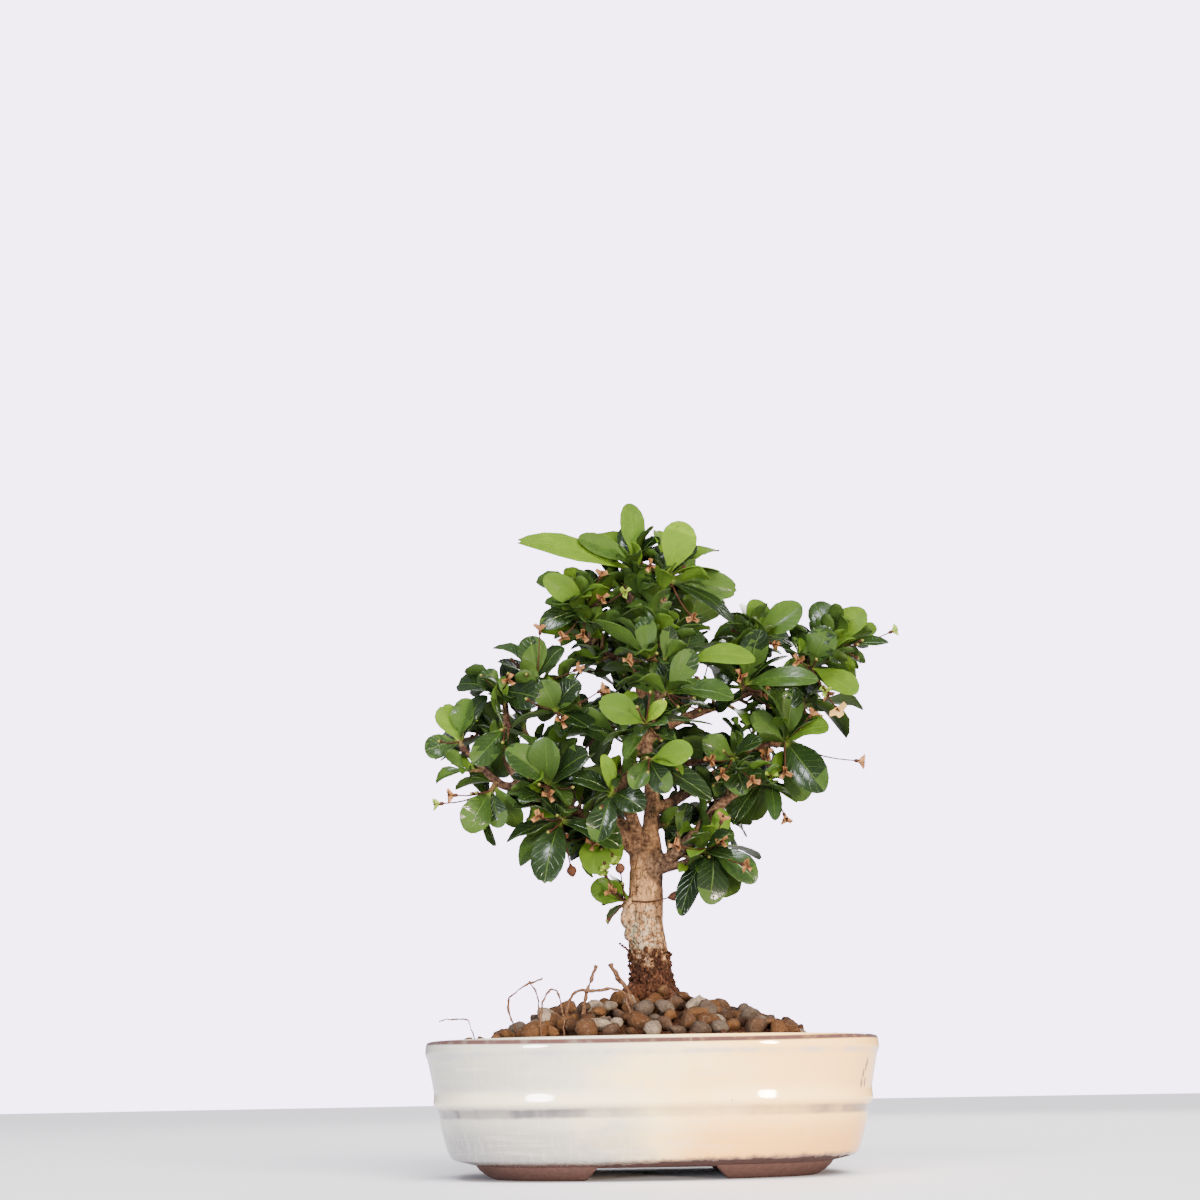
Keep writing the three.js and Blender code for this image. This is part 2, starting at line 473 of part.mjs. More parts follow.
function potSolid() {
  const body = solidOf(ovalLoft(POT_SIDES, [
    [FLOOR_TOP, 0], [FLOOR_TOP, FLOOR_HALF], [FLOOR_TOP + FLOOR_ROUND, INNER_LOW_HALF],
    [SOIL_EDGE, HALF_LENGTH - WALL - LIP], [POT_HEIGHT, HALF_LENGTH - WALL],
    [POT_HEIGHT, HALF_LENGTH - RIM_ROUND], [POT_HEIGHT - RIM_ROUND, HALF_LENGTH],
    [POT_HEIGHT - LIP_HEIGHT, HALF_LENGTH], [POT_HEIGHT - LIP_HEIGHT - LIP, HALF_LENGTH - LIP],
    [STEP_TOP, STEP_TOP_HALF], [STEP_BOTTOM, STEP_BOTTOM_HALF], [BODY_BOTTOM + BELLY_ROUND, BELLY_HALF],
    [BODY_BOTTOM, BELLY_HALF - 2 * BELLY_ROUND], [BODY_BOTTOM, 0]]));
  const band = solidOf(ovalLoft(POT_SIDES, [
    [FOOT_TOP, 0], [FOOT_TOP, FOOT_TOP_HALF], [0, FOOT_HALF], [0, 0]]));
  const hollow = solidOf(ovalLoft(POT_SIDES, [
    [FOOT_TOP + 1, 0], [FOOT_TOP + 1, FOOT_TOP_HALF - FOOT_BAND], [-1, FOOT_HALF - FOOT_BAND], [-1, 0]]));
  const gaps = [gapCut(FRONT_GAP, POT_WIDTH, 0), gapCut(SIDE_GAP, POT_LENGTH, Math.PI / 2)];
  const feet = gaps.reduce((rest, gap) => rest.subtract(gap), band.subtract(hollow));
  const drains = [-DRAIN_OFFSET, DRAIN_OFFSET].map((x) => {
    const hole = new THREE.CylinderGeometry(DRAIN_RADIUS, DRAIN_RADIUS, FLOOR_TOP, DRAIN_SIDES);
    return solidOf(hole.rotateX(Math.PI / 2).translate(x, 0, FLOOR_TOP * 0.75));
  });
  return drains.reduce((rest, drain) => rest.subtract(drain), body.add(feet));
}

function gapCut(halfTop, length, turn) {
  const outline = new THREE.Shape([
    new THREE.Vector2(-halfTop, FOOT_TOP + 1), new THREE.Vector2(-halfTop - GAP_SLOPE, -1),
    new THREE.Vector2(halfTop + GAP_SLOPE, -1), new THREE.Vector2(halfTop, FOOT_TOP + 1)]);
  const prism = new THREE.ExtrudeGeometry(outline, { depth: length, bevelEnabled: false });
  return solidOf(prism.rotateX(Math.PI / 2).translate(0, length / 2, 0).rotateZ(turn));
}

// A square of open mesh that keeps the soil from falling through a drain hole
function screenSolid(x) {
  const z = FLOOR_TOP + CLEARANCE + SCREEN_THICKNESS / 2;
  const plate = new THREE.BoxGeometry(SCREEN_SIZE, SCREEN_SIZE, SCREEN_THICKNESS).translate(x, 0, z);
  const corners = [[-1, -1], [1, -1], [1, 1], [-1, 1]];
  const holes = corners.map(([column, row]) => {
    const hole = new THREE.BoxGeometry(SCREEN_HOLE, SCREEN_HOLE, 2 * SCREEN_THICKNESS);
    return solidOf(hole.translate(x + column * SCREEN_HOLE * 0.75, row * SCREEN_HOLE * 0.75, z));
  });
  return holes.reduce((rest, hole) => rest.subtract(hole), solidOf(plate));
}

// Soil and gravel: the soil fills the pot and rises in a mound under the trunk

const SOIL_HALF = HALF_LENGTH - WALL - LIP - 2 * CLEARANCE;
const MOUND_RINGS = [0, 0.4, 0.7, 1];

const moundHeight = (share) => SOIL_EDGE + MOUND_RISE * (1 - share ** 2);

function soilSolid() {
  const top = MOUND_RINGS.map((share) => [moundHeight(share), share * SOIL_HALF]);
  const low = FLOOR_TOP + CLEARANCE;
  const narrower = 2 * CLEARANCE;
  const block = solidOf(ovalLoft(POT_SIDES, [
    ...top, [low + FLOOR_ROUND, INNER_LOW_HALF - narrower], [low, FLOOR_HALF - narrower], [low, 0]]));
  const seats = [-DRAIN_OFFSET, DRAIN_OFFSET].map((x) => {
    const side = SCREEN_SIZE + 2 * CLEARANCE;
    const height = 2 * (SCREEN_THICKNESS + 2 * CLEARANCE);
    return solidOf(new THREE.BoxGeometry(side, side, height).translate(x, 0, low - CLEARANCE));
  });
  return seats.reduce((rest, seat) => rest.subtract(seat), block);
}

// The gravel is a sheet of stones side by side on a lattice of hexagons: each stone is a
// faceted dome, and three neighbours meet in each low corner between them
const STONE_SIDES = [[1, 0], [0, 1], [-1, 1], [-1, 0], [0, -1], [1, -1]];

function stoneMiddles() {
  const random = seeded(GRAVEL_SEED);
  const middles = new Map();
  const rowStep = STONE_SPACING * Math.sqrt(0.75);
  const reach = Math.ceil((1.5 * HALF_LENGTH) / STONE_SPACING);
  for (let row = -reach; row <= reach; row += 1) {
    for (let column = -reach; column <= reach; column += 1) {
      const x = (column + row / 2) * STONE_SPACING + (random() - 0.5) * STONE_SHIFT;
      const y = row * rowStep + (random() - 0.5) * STONE_SHIFT;
      const height = STONE_HEIGHT * (0.75 + 0.5 * random());
      middles.set(`${column},${row}`, { x, y, height, share: ovalDistance(x, y, SOIL_HALF) });
    }
  }
  return middles;
}

function gravelGeometry() {
  const middles = stoneMiddles();
  const corners = new Map();
  const positions = [];
  const triangle = (...points) => points.forEach((point) => positions.push(...point));
  const over = (x, y, lift) => [x, y, moundHeight(ovalDistance(x, y, SOIL_HALF)) + lift];
  const cornerOf = (ids) => {
    const key = [...ids].sort().join(' ');
    if (!corners.has(key)) {
      const [one, two, three] = key.split(' ').map((id) => middles.get(id));
      corners.set(key, [(one.x + two.x + three.x) / 3, (one.y + two.y + three.y) / 3]);
    }
    return corners.get(key);
  };
  for (const [id, stone] of middles) {
    if (stone.share > GRAVEL_REACH) continue;
    const [column, row] = id.split(',').map(Number);
    const around = STONE_SIDES.map(([dc, dr]) => `${column + dc},${row + dr}`);
    const rim = around.map((next, k) => cornerOf([id, next, around[(k + 1) % 6]]));
    const top = over(stone.x, stone.y, GRAVEL_LIFT + stone.height);
    const foot = over(stone.x, stone.y, 2 * CLEARANCE);
    const shoulders = rim.map(([x, y]) => over(
      THREE.MathUtils.lerp(stone.x, x, SHOULDER_REACH), THREE.MathUtils.lerp(stone.y, y, SHOULDER_REACH),
      GRAVEL_LIFT + stone.height * SHOULDER_HEIGHT));
    for (let k = 0; k < 6; k += 1) {
      const next = (k + 1) % 6;
      const [low, lowNext] = [rim[k], rim[next]].map(([x, y]) => over(x, y, GRAVEL_LIFT));
      const [under, underNext] = [rim[k], rim[next]].map(([x, y]) => over(x, y, 2 * CLEARANCE));
      triangle(top, shoulders[k], shoulders[next]);
      triangle(shoulders[k], low, shoulders[next]);
      triangle(low, lowNext, shoulders[next]);
      triangle(foot, underNext, under);
      if (middles.get(around[next]).share > GRAVEL_REACH) {
        triangle(low, under, lowNext);
        triangle(under, underNext, lowNext);
      }
    }
  }
  const geometry = new THREE.BufferGeometry();
  geometry.setAttribute('position', new THREE.Float32BufferAttribute(positions, 3));
  return geometry;
}

// The wood: trunk, limbs, swellings and root flares, grown as one piece
function woodSolid(extra) {
  const limbs = Object.values(LIMBS).map((limb) => limbSolid(limb.points, limb.radii, limb.sides, extra));
  const flares = ROOT_FLARES.map((points) => limbSolid(points, FLARE_RADII, ROOT_SIDES, extra));
  const swellings = SWELLINGS.map(({ middle, radii }) => {
    const [x, y, z] = radii.map((radius) => radius + extra);
    return solidOf(new THREE.IcosahedronGeometry(1, 1).scale(x, y, z).translate(...middle));
  });
  return joined([...limbs, ...flares, ...swellings]);
}

// A leaf: it widens from a narrow foot to a round end, arches along its length and folds
// along its rib. Its section is a flat triangle, with the rib below in a cupped leaf and
// above in a domed one.

const leafWidthAt = (u) => (u ** 1.2 * (1 - u ** 4) ** 0.6) / 0.564;

const PLAIN_ROWS = [0.34, 0.66, 0.9].map((u) => ({ rib: u, edge: u, width: leafWidthAt(u) }));
const LEAF_FORMS = {
  small: { rows: [0.48, 0.85].map((u) => ({ rib: u, edge: u, width: leafWidthAt(u) })), end: 1 },
  plain: { rows: PLAIN_ROWS, end: 1 },
  notched: { rows: [...PLAIN_ROWS.slice(0, 2), { rib: 0.91, edge: 0.99, width: 0.62 }], end: 0.92 },
  toothed: {
    rows: [
      ...PLAIN_ROWS.slice(0, 2), { rib: 0.86, edge: 0.93, width: 0.7 }, { rib: 0.92, edge: 0.9, width: 0.36 },
    ],
    end: 1,
  },
};

function leafFrame(leaf) {
  const axis = leaf.tip.clone().sub(leaf.base);
  const length = axis.length();
  axis.normalize();
  const out = leaf.face.clone().addScaledVector(axis, -leaf.face.dot(axis)).normalize();
  const side = new THREE.Vector3().crossVectors(axis, out);
  return { axis, length, out, side };
}

function leafPoint(leaf, frame, u, across) {
  const rise = leaf.arch * frame.length * 4 * u * (1 - u);
  const half = (leaf.width / 2) * leafWidthAt(Math.min(Math.max(u, 0), 0.999));
  const lift = leaf.fold * half * Math.abs(across);
  return leaf.base.clone()
    .addScaledVector(frame.axis, frame.length * u)
    .addScaledVector(frame.side, half * across)
    .addScaledVector(frame.out, rise + lift);
}

function leafSolid(leaf, extra) {
  const form = LEAF_FORMS[leaf.form];
  const frame = leafFrame(leaf);
  const count = form.rows.length + 1;
  const place = (u, sideways, up) => {
    const rise = leaf.arch * frame.length * 4 * u * (1 - u);
    return leaf.base.clone().addScaledVector(frame.axis, frame.length * u)
      .addScaledVector(frame.side, sideways).addScaledVector(frame.out, rise + up).toArray();
  };
  const cupped = leaf.fold > 0;
  const ribSide = cupped ? -1 : 1;
  return solidOf(ringed(3, count, (row, column) => {
    if (row === 0) return place(form.end + extra / frame.length, 0, 0);
    if (row === count) return place(-(LEAF_FOOT_SINK + extra) / frame.length, 0, 0);
    const { rib, edge, width } = form.rows[count - 1 - row];
    const half = (leaf.width / 2) * width + 2 * extra;
    const lift = leaf.fold * half - ribSide * (LEAF_THICKNESS / 3 + extra);
    if (column === 0) return place(edge, -half, lift);
    const onRib = cupped ? column === 2 : column === 1;
    return onRib ? place(rib, 0, ribSide * (LEAF_THICKNESS * 0.67 + 2 * extra)) : place(edge, half, lift);
  }));
}

// Points that stand for a leaf when its distance to other leaves is measured: how far
// along it, and how far out from the rib
const LEAF_MARKS = [[0.45, 0], [0.7, 0], [0.95, 0], [0.7, -0.8], [0.7, 0.8]];

function leafMarks(leaf) {
  const frame = leafFrame(leaf);
  return LEAF_MARKS.map(([u, across]) => leafPoint(leaf, frame, u, across));
}

// Twigs

function alongLimb(limb, at) {
  const { points } = LIMBS[limb];
  const before = Math.min(Math.floor(at), points.length - 2);
  return vector(points[before]).lerp(vector(points[before + 1]), at - before);
}

const growTwig = (spray) => ({ start: alongLimb(spray.limb, spray.at), end: vector(spray.hub) });

const twigPoint = (twig, t) => twig.start.clone().lerp(twig.end, t);

function twigSolid(twig, extra) {
  const ends = [twig.start.toArray(), twig.end.toArray()];
  return limbSolid(ends, [TWIG_BASE_RADIUS, TWIG_TIP_RADIUS], TWIG_SIDES, extra);
}

// The growth rule: hand-placed leaves first, then the others, each turned a golden angle
// from the last and tried in several places until it stands clear of what is there

const FACES = { front: vector([0, -1, 0.35]), up: vector([0, -0.25, 1]) };

function formFor(draw) {
  if (draw < 0.25) return 'toothed';
  return draw < 0.45 ? 'notched' : 'plain';
}

function clearOf(marks, placed) {
  let nearest = Infinity;
  for (const mark of marks) {
    for (const other of placed) {
      nearest = Math.min(nearest, mark.distanceTo(other.point) - other.radius);
    }
  }
  return nearest;
}

function growLeaves() {
  const random = seeded(GROWTH_SEED);
  const placed = [];
  for (const { points, radii } of Object.values(LIMBS)) {
    for (let i = 0; i < points.length - 1; i += 1) {
      for (const share of [0, 0.5]) {
        const point = vector(points[i]).lerp(vector(points[i + 1]), share);
        placed.push({ point, radius: radii[i] + WOOD_ROOM - LEAF_ROOM });
      }
    }
  }
  const keep = (leaf) => leafMarks(leaf).forEach((point) => placed.push({ point, radius: 0 }));
  const plants = SPRAYS.map((spray) => {
    const twig = growTwig(spray);
    const leaves = spray.leaves.map(([x, y, z, width, age, face, at]) => {
      const arch = 0.03 + 0.09 * random();
      const fold = 0.28 * random() - 0.06;
      const form = formFor(random());
      const leaf = {
        base: twigPoint(twig, at), tip: vector([x, y, z]), width, age, face: FACES[face], arch, fold, form,
      };
      keep(leaf);
      return leaf;
    });
    return { ...spray, twig, leaves };
  });
  for (const plant of plants) growMore(plant, random, placed, keep);
  return plants;
}

function growMore(plant, random, placed, keep) {
  const { twig, more } = plant;
  const forward = twig.end.clone().sub(twig.start).normalize();
  const across = new THREE.Vector3(0, 0, 1).cross(forward).normalize();
  const third = new THREE.Vector3().crossVectors(forward, across);
  const outward = twig.end.clone().sub(vector(CROWN_MIDDLE)).normalize();
  const atFront = plant.leaves.length > 0;
  const first = random() * 2 * Math.PI;
  for (let k = 0; k < more; k += 1) {
    const at = 1 - (0.5 * k) / more;
    const base = twigPoint(twig, at);
    let best = null;
    let bestRoom = -Infinity;
    for (let attempt = 0; attempt < LEAF_TRIES && bestRoom < LEAF_ROOM; attempt += 1) {
      const turn = first + k * GOLDEN_ANGLE + (random() - 0.5) * attempt;
      const spread = LEAST_SPREAD + SPREAD_RANGE * random();
      const length = FILL_LENGTH * (0.8 + 0.4 * random());
      const way = forward.clone().multiplyScalar(Math.cos(spread))
        .addScaledVector(across, Math.cos(turn) * Math.sin(spread))
        .addScaledVector(third, Math.sin(turn) * Math.sin(spread));
      way.addScaledVector(outward, atFront ? 0 : OUTWARD_PULL);
      way.y += atFront ? INWARD_PULL : 0;
      way.z += UPWARD_PULL;
      way.normalize();
      const leaf = {
        base,
        tip: base.clone().addScaledVector(way, length),
        width: length * FILL_SLENDERNESS,
        age: at > 0.85 ? 'ripe' : 'old',
        face: new THREE.Vector3(0, 0, 1).addScaledVector(outward, 0.5),
        arch: 0.08,
        fold: 0.12,
        form: 'small',
      };
      const room = leaf.tip.z < LOWEST_LEAF ? -Infinity : clearOf(leafMarks(leaf), placed);
      if (room > bestRoom) {
        best = leaf;
        bestRoom = room;
      }
    }
    plant.leaves.push(best);
    keep(best);
  }
}

// A flower or pod at the end of its thin stalk
function flowerSolids(twig, place, kind, extra) {
  const { radius, depth, lobes, between, belt, heart } = FLOWER_KINDS[kind];
  const end = vector(place);
  const start = twigPoint(twig, 0.9);
  const stalk = limbSolid([start.toArray(), place], [STALK_RADIUS, STALK_RADIUS], STALK_SIDES, extra);
  const way = end.clone().sub(start).normalize();
  const across = new THREE.Vector3(0, 0, 1).cross(way).normalize();
  const third = new THREE.Vector3().crossVectors(across, way);
  const sides = 2 * lobes;
  const head = solidOf(ringed(sides, 2, (row, column) => {
    const angle = (column / sides) * 2 * Math.PI;
    const lobe = column % 2 === 0 ? 1 : between;
    const reach = row === 1 ? radius * lobe + extra : 0;
    const heights = [depth * heart + extra, depth * belt * lobe, -CALYX_DEPTH - extra];
    const point = end.clone().addScaledVector(way, heights[row])
      .addScaledVector(across, -Math.cos(angle) * reach).addScaledVector(third, Math.sin(angle) * reach);
    return point.toArray();
  }));
  return [stalk, head];
}

function spraySolid(plant, extra) {
  const flowers = FLOWERS.filter(([spray]) => spray === plant.name)
    .flatMap(([, place, kind]) => flowerSolids(plant.twig, place, kind, extra));
  const leaves = plant.leaves.map((leaf) => leafSolid(leaf, extra));
  return joined([twigSolid(plant.twig, extra), ...leaves, ...flowers]);
}

// Assembly: each part is cut clear of those before it, so that touching parts keep a thin gap

const plant = new THREE.Group();

function addPart(name, geometry, finish) {
  const mesh = new THREE.Mesh(geometry, finish);
  mesh.name = name;
  plant.add(mesh);
}

addPart('pot', geometryOf(potSolid()), GLAZE);
addPart('drain_screen_left', geometryOf(screenSolid(-DRAIN_OFFSET)), SCREEN);
addPart('drain_screen_right', geometryOf(screenSolid(DRAIN_OFFSET)), SCREEN);

const wideWood = woodSolid(CLEARANCE);
let soil = soilSolid().subtract(wideWood);
let gravel = solidOf(gravelGeometry()).subtract(wideWood);
for (const [name, { points, radius }] of Object.entries(LOOSE_ROOTS)) {
  const radii = points.map(() => radius);
  const hole = limbSolid(points, radii, ROOT_SIDES, CLEARANCE);
  soil = soil.subtract(hole);
  gravel = gravel.subtract(hole);
  addPart(name, geometryOf(limbSolid(points, radii, ROOT_SIDES).subtract(wideWood)), DEAD_ROOT);
}
addPart('soil', geometryOf(largestPiece(soil)), SOIL);
addPart('gravel', geometryOf(largestPiece(gravel)), GRAVEL);
addPart('trunk_and_branches', geometryOf(woodSolid(0)), BARK);

const earlier = [];
for (const sprayPlant of growLeaves()) {
  const whole = spraySolid(sprayPlant, 0);
  const cut = earlier.reduce((rest, other) => rest.subtract(other), whole.subtract(wideWood));
  addPart(sprayPlant.name, geometryOf(largestPiece(cut)), LEAF);
  earlier.push(whole.add(spraySolid(sprayPlant, CLEARANCE)));
}

// The origin is under the middle of the whole part
const box = new THREE.Box3().setFromObject(plant);
plant.position.set(-(box.min.x + box.max.x) / 2, -(box.min.y + box.max.y) / 2, -box.min.z);

const group = new THREE.Group();
group.add(plant);

export default group;
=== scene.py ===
# %% [markdown]
# # A fukien tea bonsai in its glazed pot
# A fukien tea is a small tropical tree with glossy, spoon-shaped leaves and tiny white
# flowers that dry up brown. This one stands in an oval glazed pot, on a mound of soil
# under loose pebbles. A plain solid model already holds the size and place of every piece:
# that is the frame. This lesson dresses it. Each solid is replaced by a finer mesh that
# keeps its form, and each surface gets a material made of noise and ramps.

import math

import bmesh
import bpy
import numpy as np
from mathutils import Euler, Matrix, Vector, noise
from mathutils.kdtree import KDTree


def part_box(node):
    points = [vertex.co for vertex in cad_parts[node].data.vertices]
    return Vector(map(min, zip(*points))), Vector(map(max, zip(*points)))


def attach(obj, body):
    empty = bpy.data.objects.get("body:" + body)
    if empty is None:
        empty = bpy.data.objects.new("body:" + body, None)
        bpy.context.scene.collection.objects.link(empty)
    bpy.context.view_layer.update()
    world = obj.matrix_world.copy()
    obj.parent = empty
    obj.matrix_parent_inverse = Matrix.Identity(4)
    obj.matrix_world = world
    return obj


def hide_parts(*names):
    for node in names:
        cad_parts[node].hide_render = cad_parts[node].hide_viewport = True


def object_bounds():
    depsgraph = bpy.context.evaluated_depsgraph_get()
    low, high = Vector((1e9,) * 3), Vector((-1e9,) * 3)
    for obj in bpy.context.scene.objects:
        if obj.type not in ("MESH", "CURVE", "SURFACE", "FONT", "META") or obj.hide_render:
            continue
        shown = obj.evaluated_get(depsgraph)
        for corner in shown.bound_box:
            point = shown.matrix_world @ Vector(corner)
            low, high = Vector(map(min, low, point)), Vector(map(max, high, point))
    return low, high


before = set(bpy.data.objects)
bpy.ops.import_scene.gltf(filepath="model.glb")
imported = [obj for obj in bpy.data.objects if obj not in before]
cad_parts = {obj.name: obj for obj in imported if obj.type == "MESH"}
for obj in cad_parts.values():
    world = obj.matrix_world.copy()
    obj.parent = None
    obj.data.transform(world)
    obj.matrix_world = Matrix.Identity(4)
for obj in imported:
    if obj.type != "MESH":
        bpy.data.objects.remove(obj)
cad_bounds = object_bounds()
print("nodes in the frame:", len(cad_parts))

# %% [markdown]
# ## One set of measures
# All sizes below are millimetres, counted from the middle of the pot on the table top, with
# the tree's front towards -Y. Blender wants metres in the frame's own place, so one matrix
# takes a finished mesh there. It is read from the pot's box, and nothing is placed by eye.
# Nature's unevenness comes from seeded draws, which are the same on every run.

# %% Millimetres round the pot, metres in the frame, and draws
MM = 0.001
pot_low, pot_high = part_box("pot")
POT_MIDDLE = Vector(((pot_low.x + pot_high.x) / 2, (pot_low.y + pot_high.y) / 2, 0))
TO_FRAME = Matrix.Translation(POT_MIDDLE) @ Matrix.Scale(MM, 4)
DRAW_FACTOR, DRAW_STEP, DRAW_RANGE = 1664525, 1013904223, 2 ** 32
ANY_WAY = 6


def seeded(seed):
    """A small random source that gives the same draws on every run"""
    state = seed

    def draw():
        nonlocal state
        state = (state * DRAW_FACTOR + DRAW_STEP) % DRAW_RANGE
        return state / DRAW_RANGE

    return draw


def pick(draw, least, spread, power=1):
    """A drawn size from least up. A power over 1 makes the small ones likelier."""
    return least + spread * draw() ** power


def either_way(draw):
    return draw() - 0.5


def any_turn(draw):
    return Euler([draw() * ANY_WAY for _ in range(3)]).to_matrix().to_4x4()


print("pot's middle in the frame:", [round(value, 5) for value in POT_MIDDLE])

# %% [markdown]
# ## The camera first
# The photograph was taken from just above table height, looking up a little, so the rim
# hides the soil and the tree stands against the wall. The pot's ellipse, the trunk's lean
# and the crown's width give the lens and the place. Making the camera first lets every
# later piece be checked against the photograph.

# %% Camera
SENSOR_WIDTH = 36
PHOTO_SIDE = 1200
FOCAL_PIXELS = 1612
CAMERA_PLACE = (-19, -740, 33.6)
CAMERA_PITCH = 17.04
CAMERA_ROLL = -1.0
NEAREST_SEEN = 0.01


def new_object(name, data):
    """A new object in the scene"""
    thing = bpy.data.objects.new(name, data)
    bpy.context.scene.collection.objects.link(thing)
    return thing


camera_data = bpy.data.cameras.new("photo_camera")
camera_data.sensor_width = SENSOR_WIDTH
camera_data.lens = SENSOR_WIDTH * FOCAL_PIXELS / PHOTO_SIDE
camera_data.clip_start = NEAREST_SEEN
camera = new_object("photo_camera", camera_data)
pitch = Matrix.Rotation(math.radians(90 + CAMERA_PITCH), 4, "X")
roll = Matrix.Rotation(math.radians(CAMERA_ROLL), 4, "Z")
camera.matrix_world = Matrix.Translation(TO_FRAME @ Vector(CAMERA_PLACE)) @ pitch @ roll
bpy.context.scene.camera = camera
print("lens:", round(camera_data.lens, 2), "mm")

# %% [markdown]
# ## Short words for node trees
# A material is a tree of nodes, and most of them do sums. Value wraps a node's output, so
# that a sum is written as one: `height * 2 + 1` makes two Math nodes and links them. The
# helpers below it make the other nodes in one line each. An input that is given a Value is
# linked, and one that is given a number or colour is set.

# %% Helpers for materials
# The Mix node has an input for each kind of data, and these are the colours' places
COLOUR_FROM, COLOUR_TO, COLOUR_OUT = 6, 7, 2


class Value:
    """A node's output that can be added, multiplied and so on"""

    def __init__(self, socket):
        self.socket = socket

    def __add__(self, other):
        return math_of("ADD", self, other)

    def __sub__(self, other):
        return math_of("SUBTRACT", self, other)

    def __rsub__(self, other):
        return math_of("SUBTRACT", other, self)

    def __mul__(self, other):
        return math_of("MULTIPLY", self, other)

    def __pow__(self, other):
        return math_of("POWER", self, other)

    def __abs__(self):
        return math_of("ABSOLUTE", self)


def feed(socket, value):
    if isinstance(value, Value):
        socket.id_data.links.new(value.socket, socket)
    else:
        socket.default_value = value


def add_node(tree, kind, settings=None, **inputs):
    """Adds a node. An input's name has _ where Blender's has a space."""
    node = tree.nodes.new("ShaderNode" + kind)
    for name, value in (settings or {}).items():
        setattr(node, name, value)
    for name, value in inputs.items():
        feed(node.inputs[name.replace("_", " ")], value)
    return node


def tree_of(*values):
    """The node tree that holds the first Value among these"""
    return next(value.socket.id_data for value in values if isinstance(value, Value))


def math_of(operation, *values):
    node = add_node(tree_of(*values), "Math", {"operation": operation})
    for socket, value in zip(node.inputs, values):
        feed(socket, value)
    return Value(node.outputs[0])


def blended(share, first, second):
    """Two colours mixed by share, from the first to the second"""
    node = add_node(tree_of(share, first, second), "Mix", {"data_type": "RGBA"}, Factor=share)
    feed(node.inputs[COLOUR_FROM], first)
    feed(node.inputs[COLOUR_TO], second)
    return Value(node.outputs[COLOUR_OUT])


def ramp(value, low, high, to_low=0.0, to_high=1.0):
    """A soft step: value from low to high becomes to_low to to_high"""
    node = add_node(tree_of(value), "MapRange", {"interpolation_type": "SMOOTHSTEP"},
                    Value=value, From_Min=low, From_Max=high, To_Min=to_low, To_Max=to_high)
    return Value(node.outputs["Result"])


def rgb(red, green, blue):
    return (red, green, blue, 1.0)


def colour_ramp(value, *stops):
    """A colour for each value of 0 to 1. A stop is its place, red, green and blue."""
    node = add_node(tree_of(value), "ValToRGB", Fac=value)
    elements = node.color_ramp.elements
    while len(elements) < len(stops):
        elements.new(0.5)
    for element, (place, *colour) in zip(elements, stops):
        element.position = place
        element.color = rgb(*colour)
    return Value(node.outputs["Color"])


def bump_of(height, strength, distance):
    """A bump whose height of 0 to 1 stands for distance in millimetres"""
    node = add_node(tree_of(height), "Bump", Height=height, Strength=strength,
                    Distance=distance * MM)
    return Value(node.outputs["Normal"])


class Finish:
    """A new material, its shader, and its place in millimetres round the pot's middle"""

    def __init__(self, name, **shader_values):
        self.material = bpy.data.materials.new(name)
        self.material.use_nodes = True
        self.tree = self.material.node_tree
        self.set(**shader_values)
        place = add_node(self.tree, "TexCoord").outputs["Object"]
        mapping = add_node(self.tree, "Mapping", Vector=Value(place), Location=-POT_MIDDLE / MM,
                           Scale=(1 / MM, 1 / MM, 1 / MM))
        self.place = Value(mapping.outputs["Vector"])
        axes = add_node(self.tree, "SeparateXYZ", Vector=self.place).outputs
        self.x, self.y, self.z = [Value(axis) for axis in axes]

    def set(self, **sockets):
        """Feeds the shader. What is the same all over the surface stays a plain number."""
        shader = self.tree.nodes["Principled BSDF"]
        for key, value in sockets.items():
            feed(shader.inputs[key.replace("_", " ")], value)

    def attribute(self, name):
        return Value(add_node(self.tree, "Attribute", {"attribute_name": name}).outputs["Fac"])

    def scaled(self, scale):
        """The place and a scale for a texture. Three scales stretch it along x, y and z."""
        if not isinstance(scale, tuple):
            return self.place, scale
        return Value(add_node(self.tree, "Mapping", Vector=self.place, Scale=scale).outputs[0]), 1

    def noise(self, scale, detail=3, roughness=0.55):
        """Soft noise of 0 to 1"""
        vector, scale = self.scaled(scale)
        node = add_node(self.tree, "TexNoise", Vector=vector, Scale=scale, Detail=detail,
                        Roughness=roughness)
        return Value(node.outputs["Fac"])

    def cells(self, scale, feature="F1"):
        """How far a place is from its cell's middle, or with another feature from its edge"""
        vector, scale = self.scaled(scale)
        node = add_node(self.tree, "TexVoronoi", {"feature": feature}, Vector=vector, Scale=scale)
        return Value(node.outputs["Distance"])


print("material helpers ready")

# %% [markdown]
# ## Short words for meshes
# Every piece is made in a bmesh in millimetres, then moved to its place in the frame, so
# that its object can stay unturned at the origin. It rides on the one body, gets its
# materials, and hides the solid that it replaces.

# %% Helpers for meshes
def to_mesh(name, bm):
    """Turns a bmesh into a mesh, and frees it"""
    mesh = bpy.data.meshes.new(name)
    bm.to_mesh(mesh)
    bm.free()
    return mesh


def add_piece(name, bm, finishes, nodes, crease=None):
    """Turns a bmesh in millimetres into a finished piece. Edges past crease stay sharp."""
    bmesh.ops.transform(bm, matrix=TO_FRAME, verts=bm.verts)
    mesh = to_mesh(name, bm)
    mesh.shade_smooth()
    if crease:
        mesh.set_sharp_from_angle(angle=math.radians(crease))
    for finish in finishes:
        mesh.materials.append(finish.material)
    piece = new_object(name, mesh)
    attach(piece, "root")
    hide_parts(*nodes)
    return piece


def triangles(piece):
    return sum(len(polygon.vertices) - 2 for polygon in piece.data.polygons)


